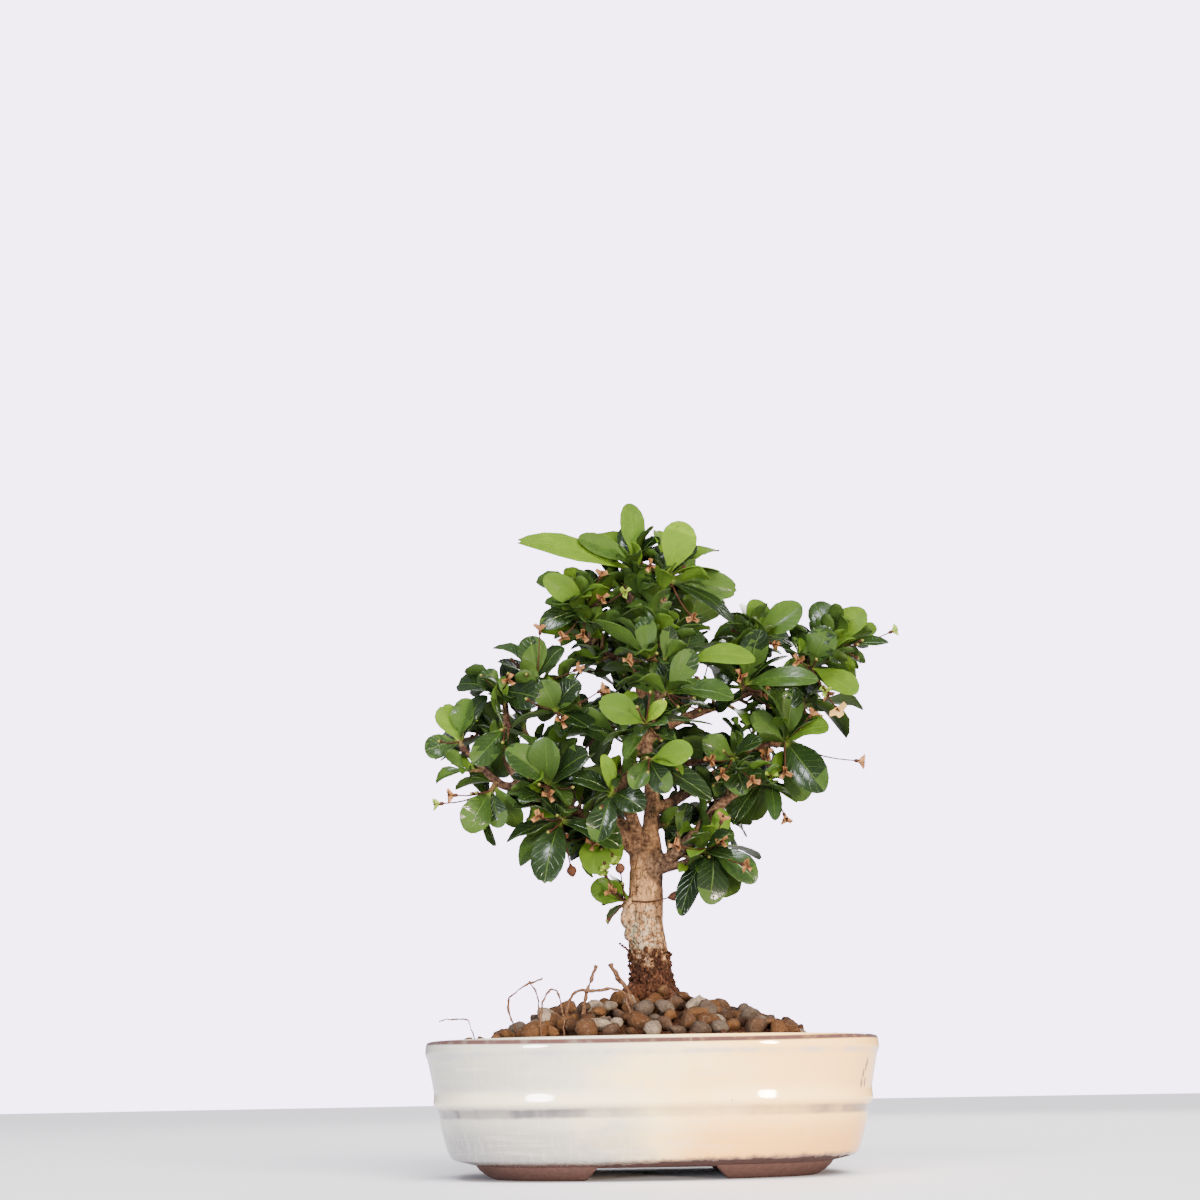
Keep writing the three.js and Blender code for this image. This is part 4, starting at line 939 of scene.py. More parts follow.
# %% Pebble material
stone_finish = Finish("rusty_pebbles", Specular_IOR_Level=0.12)
tone = stone_finish.attribute("tone")
grain = stone_finish.noise(1.4, 6, 0.7)
stain = stone_finish.noise(0.25)
stone_colour = colour_ramp(
    tone + (stain - 0.5) * 0.25,
    (0.04, 0.022, 0.012, 0.008), (0.20, 0.060, 0.025, 0.010), (0.40, 0.100, 0.042, 0.014),
    (0.60, 0.075, 0.033, 0.014), (0.76, 0.048, 0.032, 0.024), (0.91, 0.082, 0.060, 0.044),
    (1.0, 0.23, 0.17, 0.12))
dark_grain = ramp(grain, 0.44, 0.62, 0, 0.6)
stone_colour = blended(dark_grain, stone_colour, rgb(0.026, 0.013, 0.008))
dust = stone_finish.noise(0.6, 5, 0.7)
stone_colour = blended(ramp(dust, 0.52, 0.68, 0, 0.35), stone_colour, rgb(0.19, 0.125, 0.080))
stone_finish.set(
    Base_Color=stone_colour,
    Roughness=ramp(grain, 0.3, 0.7, 0.95, 0.75),
    Normal=bump_of(grain, 1.0, 0.8),
)
gravel = add_piece("pebbles", gravel_mesh, [stone_finish], ["gravel"])
print("pebbles:", triangles(gravel), "triangles")

# %% [markdown]
# ## Dead roots
# A few dead, bleached roots and twigs stick out of the gravel. Each is a thin tube along a
# smooth curve through a handful of places. The tube is made the way a vine grows: a ring
# is extruded, turned to the path's new direction and scaled, again and again.

# %% Roots
# Radius of the solid root, and its places
LOOSE_ROOTS = {
    "root_hook": (
        0.9, [[-57, -33, 56], [-61, -36, 70], [-59, -38, 75], [-53, -36, 78], [-46, -34, 82]]),
    "root_wire": (0.7, [[-47, -40, 58], [-48, -41, 72], [-51, -42, 80]]),
    "root_stub": (1.6, [[-29, -30, 62], [-28, -30, 76], [-23, -28, 86]]),
    "root_peg": (2, [[-5, -22, 66], [-11, -26, 77], [-17, -30, 87]]),
    "root_bar": (
        1.3, [[-37, -34, 58], [-34, -36, 73], [-23, -38, 76], [-12, -36, 75], [-9, -34, 60]]),
    "root_arch": (
        0.8, [[-47, -46, 54], [-46, -46, 70], [-42, -46, 76], [-38, -44, 70], [-37, -43, 54]]),
    "root_whisker": (0.6, [[-74, -30, 50], [-78, -29, 64], [-84, -26, 66], [-92, -22, 65]]),
}
ROOT_STEPS = 34
ROOT_SIDES = 9
ROOT_THINNING = 0.5
WANDER, KINK = 1.1, 0.35
ROOT_SEED = 5


def wandering(place):
    """A place pushed off its smooth curve, by a wide wave and a small kink"""
    wave, kink = noise.noise_vector(place * 0.22), noise.noise_vector(place * 0.7)
    return place + wave * WANDER + kink * KINK


root_finish = Finish("dead_root_wood", Specular_IOR_Level=0.1)
fibre = root_finish.noise(1.8, 5, 0.65)
root_finish.set(
    Base_Color=colour_ramp(fibre, (0.3, 0.024, 0.010, 0.006), (0.5, 0.075, 0.036, 0.019),
                           (0.75, 0.22, 0.125, 0.07)),
    Roughness=ramp(fibre, 0.3, 0.7, 0.9, 0.65),
    Normal=bump_of(fibre, 0.8, 0.35),
)
# Without a seed, noise_vector gives other vectors in each run
noise.seed_set(ROOT_SEED)
for name, (radius, points) in LOOSE_ROOTS.items():
    bm = bmesh.new()
    places = [wandering(place) for place in smooth_path(points, ROOT_STEPS)]
    radii = [radius * ROOT_THINNING * (1 + 0.7 * noise.noise(place * 0.5)) for place in places]
    sweep(bm, places, radii, ROOT_SIDES)
    add_piece("dead_" + name, bm, [root_finish], [name])
print("dead roots:", len(LOOSE_ROOTS))

# %% [markdown]
# ## Drain screens
# Under the soil a square of plastic net covers each drain hole. A flat grid becomes a net
# when each cell is inset and its middle taken out; solidify then gives the threads body.

# %% Two squares of net
SCREEN_CELLS = 9
SCREEN_THREAD = 0.55

screen_finish = Finish("dark_screen", Roughness=0.5)
dust = screen_finish.noise(0.6, 4)
screen_finish.set(
    Base_Color=blended(ramp(dust, 0.45, 0.7), rgb(0.03, 0.03, 0.035), rgb(0.14, 0.10, 0.07)),
    Normal=bump_of(dust, 0.5, 0.2),
)
for node in ("drain_screen_left", "drain_screen_right"):
    low, high = [TO_FRAME.inverted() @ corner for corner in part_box(node)]
    bm = bmesh.new()
    middle = Matrix.Translation(((low.x + high.x) / 2, (low.y + high.y) / 2, high.z))
    bmesh.ops.create_grid(bm, x_segments=SCREEN_CELLS, y_segments=SCREEN_CELLS,
                          size=(high.x - low.x) / 2, matrix=middle)
    cells = list(bm.faces)
    bmesh.ops.inset_individual(bm, faces=cells, thickness=SCREEN_THREAD)
    bmesh.ops.delete(bm, geom=cells, context="FACES")
    bmesh.ops.solidify(bm, geom=bm.faces, thickness=high.z - low.z)
    add_piece(node.replace("drain_", "net_"), bm, [screen_finish], [node])
print("net squares: 2")

# %% [markdown]
# ## Wood
# The tree's frame is a trunk with a leader and a dozen limbs, each a row of places with a
# radius at every one. Tubes alone would meet in hard creases. Living wood swells round a
# joint, so the tubes, root flares and knots are melted into one skin by a voxel remesh,
# smoothed, and then furrowed by noise: deep on the old trunk, hardly at all on young wood.

# %% Limbs, flares and swellings
LIMBS = {
    "trunk": dict(
        points=[[1, 0, 34], [1.5, 0, 62], [1.5, 0, 84], [0, 0, 95], [-1, 0, 106],
                [-0.5, 0, 118], [0, 0, 130], [1, 0, 142], [2.5, 1, 152]],
        radii=[9, 11, 10.4, 9, 8.2, 7.7, 7.8, 6.6, 3.4],
    ),
    "leader": dict(
        points=[[0.5, 0, 138], [2, 0, 147], [3.5, 2, 161], [3, 5, 178], [1, 5, 195],
                [-0.5, 3, 211], [-1, 0, 228], [-2.5, -4, 244], [-4, -7, 257], [-5, -9, 266]],
        radii=[4.6, 4.2, 3.8, 3.4, 2.9, 2.5, 2.2, 1.9, 1.6, 1.4],
    ),
    "frontStem": dict(
        points=[[-1, 0, 140], [-7, -14, 155], [-11, -30, 166], [-7, -38, 175], [0, -43, 187],
                [6, -45, 198], [7, -43, 210], [8, -38, 226], [10, -30, 242], [12, -22, 260]],
        radii=[3.4, 3, 2.6, 2.3, 2.1, 1.9, 1.8, 1.6, 1.5, 1.3],
    ),
    "leftLow": dict(
        points=[[-1, 0, 138], [-15, -8, 148], [-27, -14, 153], [-37, -17, 157], [-48, -17, 164],
                [-56, -16, 170], [-62, -15, 179], [-64, -14, 189], [-63, -13, 198],
                [-64, -12, 209]],
        radii=[4.4, 3.9, 3.6, 3.4, 3.1, 2.8, 2.3, 2, 1.8, 1.5],
    ),
    "leftFar": dict(
        points=[[-55, -16, 168], [-65, -19, 168], [-74, -21, 176], [-82, -22, 184]],
        radii=[2.3, 2, 1.6, 1.3],
    ),
    "leftMid": dict(
        points=[[1, 5, 192], [-14, -3, 200], [-29, -9, 203], [-40, -13, 203], [-47, -14, 214]],
        radii=[2.5, 2.2, 1.9, 1.7, 1.3],
    ),
    "leftUpper": dict(
        points=[[-1, 0, 226], [-13, -4, 231], [-23, -8, 234], [-24, -9, 243], [-25, -10, 249]],
        radii=[1.9, 1.7, 1.5, 1.4, 1.2],
    ),
    "rightUpper": dict(
        points=[[1, 5, 194], [18, 0, 201], [34, -5, 206], [47, -10, 210], [62, -9, 216],
                [78, -7, 224], [87, -6, 229], [91, -6, 232]],
        radii=[2.6, 2.4, 2.2, 2, 1.8, 1.6, 1.4, 1.2],
    ),
    "rightPeak": dict(
        points=[[46, -10, 210], [50, -9, 223], [53, -8, 233]],
        radii=[1.6, 1.4, 1.2],
    ),
    "rightMid": dict(
        points=[[3, 5, 177], [21, -2, 180], [39, -8, 182], [53, -12, 185], [61, -12, 186]],
        radii=[2.3, 2, 1.7, 1.5, 1.3],
    ),
    "rightLow": dict(
        points=[[1, 0, 134], [10, -6, 135], [18, -11, 141], [27, -14, 150], [36, -16, 160],
                [47, -17, 166], [54, -14, 169]],
        radii=[3.6, 3.2, 3, 2.8, 2.4, 2, 1.5],
    ),
    "rightUnder": dict(
        points=[[2, 0, 130], [10, -9, 131], [17, -15, 132], [26, -20, 136]],
        radii=[2.6, 2.2, 1.8, 1.4],
    ),
    "backLeft": dict(
        points=[[0, 2, 146], [-15, 18, 158], [-30, 30, 172], [-44, 38, 186], [-54, 42, 200]],
        radii=[3.4, 3, 2.6, 2, 1.4],
    ),
    "backMiddle": dict(
        points=[[3, 5, 176], [1, 22, 190], [-4, 40, 204], [-6, 52, 220]],
        radii=[2.7, 2.3, 1.9, 1.3],
    ),
    "backRight": dict(
        points=[[3, 2, 158], [18, 18, 168], [34, 30, 180], [48, 38, 190], [60, 42, 202]],
        radii=[3, 2.7, 2.3, 1.8, 1.4],
    ),
    "backUpper": dict(
        points=[[-1, 3, 212], [8, 16, 224], [15, 26, 238], [18, 32, 250]],
        radii=[2, 1.8, 1.5, 1.2],
    ),
}

ROOT_FLARES = [
    [[6, -6, 84], [13, -12, 76], [19, -17, 62]],
    [[-7, -6, 85], [-15, -13, 77], [-22, -18, 62]],
    [[9, 2, 83], [18, 4, 75], [26, 7, 60]],
    [[-9, 3, 84], [-18, 7, 76], [-26, 10, 61]],
    [[0, 9, 84], [2, 18, 76], [3, 26, 61]],
]
FLARE_RADII = [4.4, 3.4, 2.2]

SWELLINGS = [
    dict(middle=[-7, -2.5, 114], radii=[4.2, 4, 5.5]),
    dict(middle=[0.5, -1, 135], radii=[8.4, 7.6, 9]),
]

# The bare trunk, slimmer at its foot than the solid, because peat clings round it there
TRUNK_RADII = [8.5, 9.4, 9.2, 8.7, 8.3, 7.8, 7.8, 6.6, 3.4]

# Peat hides most of the root flares, and two knobs stand out low on the trunk's left
FLARE_SINK = Vector((0, 0, 6))
FLARE_THINNING = 0.6
KNOBS = [
    dict(middle=[-9.3, -2, 109], radii=[3.2, 3.4, 4.4]),
    dict(middle=[-8.6, -4, 102], radii=[2.4, 2.6, 3.0]),
]
print("limbs:", len(LIMBS))

# %% The sprays, listed and by rule
# What the photograph shows. A spray is its name, its limb, its place counted in the limb's
# points, its hub, how many more leaves grow on it by the rule, and its placed leaves. A leaf
# is its tip, width, age, the side that faces out, and how far along the twig it starts.
FRONT_SPRAYS = [
    ("top", "leader", 9, [-1, -8, 277], 3, [
      [-4, -8, 307, 12, "young", "front", 1], [-20, 6, 297, 12, "young", "front", 0.9],
      [-29, -18, 286, 11, "ripe", "front", 0.9], [-7, -3, 297, 10, "old", "front", 1],
      [7, -16, 292, 9, "old", "up", 1], [-57, -24, 284, 15, "young", "front", 0.5]]),
    ("top_right", "frontStem", 9, [13, -20, 266], 2, [
      [21, -27, 290, 17, "young", "front", 1], [38, -6, 284, 12, "young", "up", 0.9],
      [31, 10, 287, 14, "old", "front", 0.8], [37, -28, 266, 11, "young", "up", 0.8],
      [45, -20, 258, 14, "ripe", "front", 0.7], [42, 4, 255, 14, "old", "front", 0.6],
      [9, -6, 294, 9, "young", "front", 1], [42, -28, 242, 13, "old", "up", 0.4]]),
    ("left_top", "leftUpper", 4, [-26, -12, 254], 3, [
      [-45, -24, 265, 12, "young", "front", 1], [-34, -6, 275, 11, "young", "front", 1],
      [-23, -6, 274, 10, "old", "front", 1], [-43, -2, 258, 8, "old", "front", 0.8],
      [-47, -20, 242, 12, "old", "front", 0.6], [-13, -22, 267, 10, "ripe", "up", 1]]),
    ("left_up", "leftMid", 4, [-49, -14, 218], 3, [
      [-52, -18, 238, 14, "ripe", "front", 1], [-37, -14, 234, 12, "ripe", "front", 1],
      [-67, -16, 227, 12, "old", "up", 0.8], [-44, -4, 201, 12, "old", "front", 0.4]]),
    ("left_tip", "leftLow", 9, [-66, -12, 214], 3, [
      [-76, -18, 219, 13, "ripe", "front", 0.8], [-46, -30, 205, 15, "old", "front", 0.9],
      [-57, -4, 230, 12, "old", "up", 1], [-72, -4, 200, 12, "old", "front", 0.5],
      [-54, 0, 203, 12, "old", "front", 0.5]]),
    ("left_wedge", "leftMid", 2.5, [-40, -28, 200], 1, [
      [-46, -36, 212, 13, "old", "front", 1], [-29, -34, 212, 14, "old", "front", 1],
      [-25, -40, 189, 15, "old", "front", 0.8], [-60, -30, 192, 13, "old", "up", 0.7]]),
    ("left_far", "leftFar", 3, [-84, -22, 188], 2, [
      [-92, -20, 205, 11, "young", "front", 1], [-78, -28, 206, 14, "ripe", "front", 1],
      [-99, -26, 183, 12, "ripe", "front", 1], [-73, -12, 212, 9, "old", "up", 0.8]]),
    ("left_arch", "leftLow", 7.5, [-63, -24, 193], 1, [
      [-77, -34, 175, 12, "ripe", "front", 1], [-73, -18, 177, 12, "old", "front", 0.9],
      [-67, -8, 174, 13, "old", "front", 0.6]]),
    ("left_hang", "leftFar", 1.2, [-70, -24, 164], 1, [
      [-80, -32, 146, 14, "ripe", "front", 1], [-65, -26, 148, 10, "old", "front", 0.8],
      [-57, -14, 150, 10, "ripe", "front", 0.4]]),
    ("left_heart", "leftLow", 3.8, [-43, -30, 166], 2, [
      [-62, -40, 180, 14, "ripe", "front", 1], [-44, -44, 184, 15, "old", "front", 1],
      [-25, -46, 176, 16, "old", "front", 0.9], [-52, -20, 182, 14, "ripe", "front", 0.6],
      [-31, -24, 176, 13, "old", "front", 0.5]]),
    ("low_left", "leftLow", 2.8, [-38, -26, 150], 2, [
      [-45, -38, 121, 16, "old", "front", 1], [-62, -26, 141, 12, "old", "up", 0.9],
      [-58, -14, 133, 11, "ripe", "front", 0.8], [-54, -8, 156, 12, "young", "front", 0.5],
      [-48, 0, 143, 13, "old", "front", 0.5]]),
    ("low_middle", "leftLow", 1.3, [-21, -18, 146], 1, [
      [-25, -26, 127, 15, "young", "front", 1], [-14, -14, 132, 12, "young", "front", 0.8],
      [-35, -8, 136, 12, "old", "front", 0.8]]),
    ("front_low", "frontStem", 2.2, [-15, -38, 160], 1, [
      [-22, -46, 138, 13, "old", "front", 1], [-2, -48, 151, 13, "old", "front", 1],
      [-32, -42, 167, 10, "old", "front", 1], [-19, -48, 175, 8, "gold", "front", 1],
      [-27, -28, 152, 12, "old", "up", 0.7]]),
    ("front_heart", "frontStem", 4, [0, -49, 189], 1, [
      [-20, -60, 196, 13, "young", "front", 1], [9, -58, 196, 7, "gold", "front", 1],
      [29, -55, 186, 8, "ripe", "up", 0.8], [-9, -54, 172, 9, "ripe", "up", 0.7],
      [-19, -42, 181, 13, "old", "up", 0.5]]),
    ("front_light", "frontStem", 3.2, [2, -45, 173], 1, [
      [20, -57, 174, 12, "young", "front", 1], [9, -52, 158, 11, "old", "front", 0.9],
      [-6, -50, 160, 10, "ripe", "front", 0.8], [28, -42, 156, 14, "old", "front", 0.6]]),
    ("front_mid", "frontStem", 5.2, [10, -50, 202], 1, [
      [38, -60, 197, 14, "ripe", "front", 1], [22, -54, 220, 12, "ripe", "front", 1],
      [-3, -60, 206, 10, "ripe", "up", 0.8], [27, -42, 206, 12, "old", "up", 0.7]]),
    ("front_high", "frontStem", 6.2, [17, -43, 217], 1, [
      [49, -52, 216, 14, "young", "front", 1], [23, -36, 236, 13, "old", "front", 1],
      [36, -24, 230, 13, "old", "up", 0.8]]),
    ("front_arch", "frontStem", 6.6, [2, -48, 218], 1, [
      [-21, -60, 233, 9, "ripe", "up", 1], [-13, -42, 222, 12, "old", "up", 0.7],
      [1, -50, 237, 10, "old", "front", 1]]),
    ("right_front", "rightUpper", 2.8, [47, -18, 213], 2, [
      [55, -26, 237, 15, "old", "front", 1], [78, -36, 211, 11, "ripe", "front", 1],
      [37, -16, 229, 13, "old", "up", 0.8], [67, -22, 226, 12, "ripe", "up", 1],
      [35, -28, 198, 12, "old", "up", 0.6]]),
    ("right_peak", "rightPeak", 2, [54, -9, 238], 2, [
      [55, -12, 256, 13, "young", "front", 1], [75, -20, 250, 14, "ripe", "front", 1],
      [52, 12, 260, 13, "old", "front", 0.8], [73, 6, 242, 13, "old", "front", 0.7]]),
    ("right_far", "rightUpper", 7, [94, -7, 234], 1, [
      [104, -12, 251, 14, "young", "front", 1], [83, -4, 256, 13, "ripe", "front", 1],
      [115, -16, 232, 9, "ripe", "up", 1], [113, 2, 246, 8, "young", "front", 0.9]]),
    ("right_drop", "rightUpper", 4.9, [79, -13, 222], 1, [
      [87, -24, 238, 15, "old", "front", 1], [97, -24, 206, 15, "young", "front", 1],
      [70, 2, 234, 13, "old", "up", 0.7]]),
    ("right_mid", "rightMid", 4, [65, -14, 187], 1, [
      [69, -20, 210, 13, "old", "front", 1], [62, -2, 209, 11, "ripe", "front", 1],
      [84, -22, 192, 14, "young", "front", 1], [79, -30, 161, 17, "old", "front", 1],
      [72, -10, 160, 14, "old", "front", 0.8], [50, -18, 200, 10, "ripe", "front", 0.7]]),
    ("right_inner", "rightMid", 2.1, [40, -23, 178], 2, [
      [44, -30, 160, 14, "old", "front", 1], [26, -32, 184, 12, "ripe", "front", 1],
      [53, -10, 164, 13, "ripe", "front", 0.7], [52, -34, 183, 11, "old", "front", 1],
      [34, -12, 192, 12, "old", "up", 0.6]]),
    ("right_low", "rightLow", 6, [57, -14, 171], 0, [
      [57, -26, 149, 8, "ripe", "up", 1], [39, -20, 148, 8, "old", "front", 0.4],
      [48, -2, 153, 11, "old", "front", 0.7]]),
    ("right_under", "rightUnder", 3, [29, -22, 138], 1, [
      [14, -33, 137, 13, "old", "up", 0.9], [26, -32, 112, 15, "old", "front", 1],
      [47, -30, 122, 13, "ripe", "front", 1], [38, -12, 118, 14, "old", "front", 0.8],
      [14, -24, 108, 12, "old", "front", 0.6]]),
    ("trunk_left", "trunk", 4.8, [-11, -5, 117], 0, [
      [-25, -12, 123, 12, "young", "front", 1]]),
    ("trunk_right", "leader", 1.4, [10, 5, 152], 1, [
      [25, 0, 157, 13, "old", "front", 1], [20, 0, 138, 14, "old", "front", 0.8]]),
]
# The back and the heart of the crown, where all leaves grow by the rule
BACK_SPRAYS = [
    ("back_left_tip", "backLeft", 4, [-58, 45, 208]),
    ("back_left_mid", "backLeft", 3, [-44, 50, 184]),
    ("back_left_low", "backLeft", 2, [-40, 28, 162]),
    ("back_middle_tip", "backMiddle", 3, [-8, 60, 229]),
    ("back_middle_left", "backMiddle", 2, [-22, 54, 208]),
    ("back_middle_right", "backMiddle", 2, [12, 56, 206]),
    ("back_right_tip", "backRight", 4, [66, 46, 210]),
    ("back_right_mid", "backRight", 3, [50, 52, 186]),
    ("back_right_low", "backRight", 1.7, [34, 34, 162]),
    ("back_upper_tip", "backUpper", 3, [20, 37, 260]),
    ("back_upper_left", "backUpper", 1, [-12, 26, 236]),
    ("back_upper_right", "backUpper", 2, [36, 28, 236]),
    ("side_left", "leftLow", 8, [-74, 8, 196]),
    ("side_right", "rightUpper", 4.5, [78, 12, 208]),
    ("inner", "backMiddle", 0.8, [-10, 26, 174]),
]
BACK_LEAVES = 6
SPRAYS = [
    dict(name="spray_" + name, limb=limb, at=at, hub=hub, more=more, leaves=leaves)
    for name, limb, at, hub, more, leaves
    in FRONT_SPRAYS + [(*row, BACK_LEAVES, []) for row in BACK_SPRAYS]
]


def along_limb(limb, at):
    points = [np.array(point, float) for point in LIMBS[limb]["points"]]
    before = min(int(at), len(points) - 2)
    return points[before] + (points[before + 1] - points[before]) * (at - before)


print("sprays:", len(SPRAYS))

# %% Tubes and knots
LIMB_SIDES = 14
LIMB_STEP = 2.5
FEWEST_STEPS = 6
KNOT_RADIUS = 2.1

wood_mesh = bmesh.new()
skeleton = []
strands = [(limb["points"], limb["radii"]) for name, limb in LIMBS.items() if name != "trunk"]
strands.append((LIMBS["trunk"]["points"], TRUNK_RADII))
for points in ROOT_FLARES:
    sunk = [Vector(point) - FLARE_SINK for point in points]
    strands.append((sunk, [radius * FLARE_THINNING for radius in FLARE_RADII]))
for points, radii in strands:
    length = sum((Vector(b) - Vector(a)).length for a, b in zip(points, points[1:]))
    count = max(FEWEST_STEPS, round(length / LIMB_STEP))
    places = smooth_path(points, count)
    girths = [radius_at(radii, step / (count - 1)) for step in range(count)]
    sweep(wood_mesh, places, girths, LIMB_SIDES)
    skeleton += list(zip(places, girths))
for swelling in SWELLINGS + KNOBS:
    shape = Matrix.Translation(swelling["middle"]) @ Matrix.Diagonal((*swelling["radii"], 1))
    bmesh.ops.create_icosphere(wood_mesh, subdivisions=3, radius=1, matrix=shape)
for spray in SPRAYS:
    node = Matrix.Translation(Vector(along_limb(spray["limb"], spray["at"])))
    bmesh.ops.create_icosphere(wood_mesh, subdivisions=2, radius=KNOT_RADIUS, matrix=node)
print("tubes and knots:", len(wood_mesh.faces), "faces")

# %% Melt them into one skin
VOXEL = 0.8


def melt(work):
    remesh = work.modifiers.new("melt", "REMESH")
    remesh.mode = "VOXEL"
    remesh.voxel_size = VOXEL
    smooth = work.modifiers.new("smooth", "SMOOTH")
    smooth.factor = 0.5
    smooth.iterations = 3


wood_mesh = modified(wood_mesh, melt)
print("one skin:", len(wood_mesh.faces), "faces")

# %% Furrows, and how thick the wood is at each place
# Furrows run along the wood, so their noise is stretched upright
FURROWS_ACROSS, FURROWS_ALONG = 0.55, 0.09
KNOT_SCALE = 0.3
FURROW_DEPTH, LEAST_DEPTH, DEEPEST_GIRTH = 0.045, 0.03, 9
BUMP_DEPTH, BUMPIEST_GIRTH = 0.05, 5
NEIGHBOURS = 5

nearest_strand = KDTree(len(skeleton))
for index, (place, girth) in enumerate(skeleton):
    nearest_strand.insert(place, index)
nearest_strand.balance()

girth_layer = wood_mesh.verts.layers.float.new("girth")
wood_mesh.normal_update()
for vert in wood_mesh.verts:
    found = nearest_strand.find_n(vert.co, NEIGHBOURS)
    girth = sum(skeleton[index][1] for _, index, _ in found) / len(found)
    vert[girth_layer] = girth
    stretched = Vector((vert.co.x * FURROWS_ACROSS, vert.co.y * FURROWS_ACROSS,
                        vert.co.z * FURROWS_ALONG))
    furrow = noise.fractal(stretched, 1.0, 2.2, 4)
    knots = noise.fractal(vert.co * KNOT_SCALE, 1.0, 2.0, 3)
    depth = FURROW_DEPTH * min(girth, DEEPEST_GIRTH) + LEAST_DEPTH
    bumps = knots * BUMP_DEPTH * min(girth, BUMPIEST_GIRTH)
    vert.co += vert.normal * (furrow * depth + bumps)
print("furrows on", len(wood_mesh.verts), "points")

# %% Bark: pale old wood, grey limbs and brown twigs
bark = Finish("fissured_bark", Specular_IOR_Level=0.12)
mottle = bark.noise(0.12)
patchy = bark.noise(0.25, 4)
thickness = bark.attribute("girth")
old_wood = ramp(thickness + (patchy - 0.5) * 5, 3.6, 6.6)
young_wood = ramp(thickness, 1.6, 2.6, 1.0, 0.0)
furrows = bark.noise((0.6, 0.6, 0.16), 5, 0.65)
scales = bark.noise(0.55, 6, 0.7)
flaky = furrows * 0.55 + scales * 0.45
pale = colour_ramp(flaky, (0.37, 0.050, 0.027, 0.015), (0.44, 0.17, 0.090, 0.045),
                   (0.52, 0.31, 0.160, 0.072), (0.64, 0.60, 0.31, 0.13))
pale = blended(ramp(bark.z, 104, 112, 0.0, 0.4), pale, rgb(0.33, 0.175, 0.080))
grey = colour_ramp(scales, (0.36, 0.022, 0.012, 0.008), (0.5, 0.085, 0.046, 0.026),
                   (0.68, 0.22, 0.13, 0.07))
twiggy = colour_ramp(scales, (0.36, 0.018, 0.009, 0.006), (0.52, 0.060, 0.030, 0.019),
                     (0.7, 0.15, 0.085, 0.052))
wood_colour = blended(old_wood, grey, pale)
wood_colour = blended(young_wood, wood_colour, twiggy)
print("bark colours for", bark.material.name)

# %% Bark: lichen, peat, cracks and pores
height = bark.z + (mottle - 0.5) * 24
low_bark = ramp(height, 104, 112, 1.0, 0.0)
rough_share = low_bark * ramp(scales, 0.48, 0.56, 0.75, 0.0)
wood_colour = blended(rough_share, wood_colour, rgb(0.055, 0.030, 0.018))
lichen_zone = ramp(height, 90, 96) * ramp(height, 106, 118, 1.0, 0.0)
lichen_side = ramp(bark.x, 0, 7, 1.0, 0.3)
lichen_patch = ramp(bark.noise(0.42, 6, 0.7), 0.49, 0.56)
lichen = lichen_zone * lichen_side * lichen_patch
wood_colour = blended(lichen * 0.6, wood_colour, rgb(0.40, 0.33, 0.225))
green_patch = lichen_zone * ramp(bark.x, -7, -2, 1.0, 0.0)
green_patch = green_patch * ramp(patchy, 0.45, 0.6, 0.0, 0.6)
wood_colour = blended(green_patch, wood_colour, rgb(0.10, 0.12, 0.085))
peat = ramp(height, 85, 95, 0.95, 0.0)
peat_colour = colour_ramp(scales, (0.35, 0.010, 0.004, 0.003), (0.5, 0.034, 0.012, 0.007),
                          (0.65, 0.095, 0.038, 0.018))
wood_colour = blended(peat, wood_colour, peat_colour)
flake_edge = bark.cells((0.42, 0.42, 0.2), "DISTANCE_TO_EDGE")
crack = ramp(flake_edge, 0.0, 0.09, 0.85, 0.0) * ramp(patchy, 0.4, 0.56) * old_wood
wood_colour = blended(crack, wood_colour, rgb(0.035, 0.018, 0.011))
pore = math_of("LESS_THAN", bark.cells(0.4), 0.17)
wood_colour = blended(pore * 0.7, wood_colour, rgb(0.03, 0.016, 0.010))
bark.set(
    Base_Color=wood_colour,
    Roughness=ramp(scales, 0.3, 0.7, 0.95, 0.75),
    Normal=bump_of(flaky - crack * 0.35, 1.0, 1.6),
)
wood = add_piece("bark_and_limbs", wood_mesh, [bark], ["trunk_and_branches"])
print("bark_and_limbs:", triangles(wood), "triangles")

# %% [markdown]
# ## Where the leaves grow
# A fukien tea sets its leaves in tufts on short spurs, each leaf turned about a golden
# angle from the last, so that none shades the one below. The rule here does the same. The
# leaves that the photograph shows clearly are placed by their tips. The others grow from
# the same seeded draws as in the solid model, tried in several places until they stand
# clear of what is there.

# %% A leaf's shape, and the room round it
# Points that stand for a leaf: share along it, and share of its half width across it
LEAF_MARKS = [[0.45, 0], [0.7, 0], [0.95, 0], [0.7, -0.8], [0.7, 0.8]]
MOST_POINTS = 20000


def unit(vector):
    return vector / math.sqrt(vector.dot(vector))


def leaf_width_at(u):
    """The solid model's leaf outline, 1 at its widest"""
    return u ** 1.2 * (1 - u ** 4) ** 0.6 / 0.564


def leaf_frame(leaf):
    axis = leaf["tip"] - leaf["base"]
    length = math.sqrt(axis.dot(axis))
    axis = axis / length
    out = unit(leaf["face"] - axis * leaf["face"].dot(axis))
    return axis, length, out, np.cross(axis, out)


def arched(leaf, length, u):
    """How high a leaf's rib rises at a share along it"""
    return leaf["arch"] * length * 4 * u * (1 - u)


def leaf_marks(leaf):
    axis, length, out, side = leaf_frame(leaf)
    marks = []
    for u, across in LEAF_MARKS:
        rise = arched(leaf, length, u)
        half = leaf["width"] / 2 * leaf_width_at(u)
        lift = leaf["fold"] * half * abs(across)
        marks.append(leaf["base"] + axis * length * u + side * half * across
                     + out * (rise + lift))
    return marks


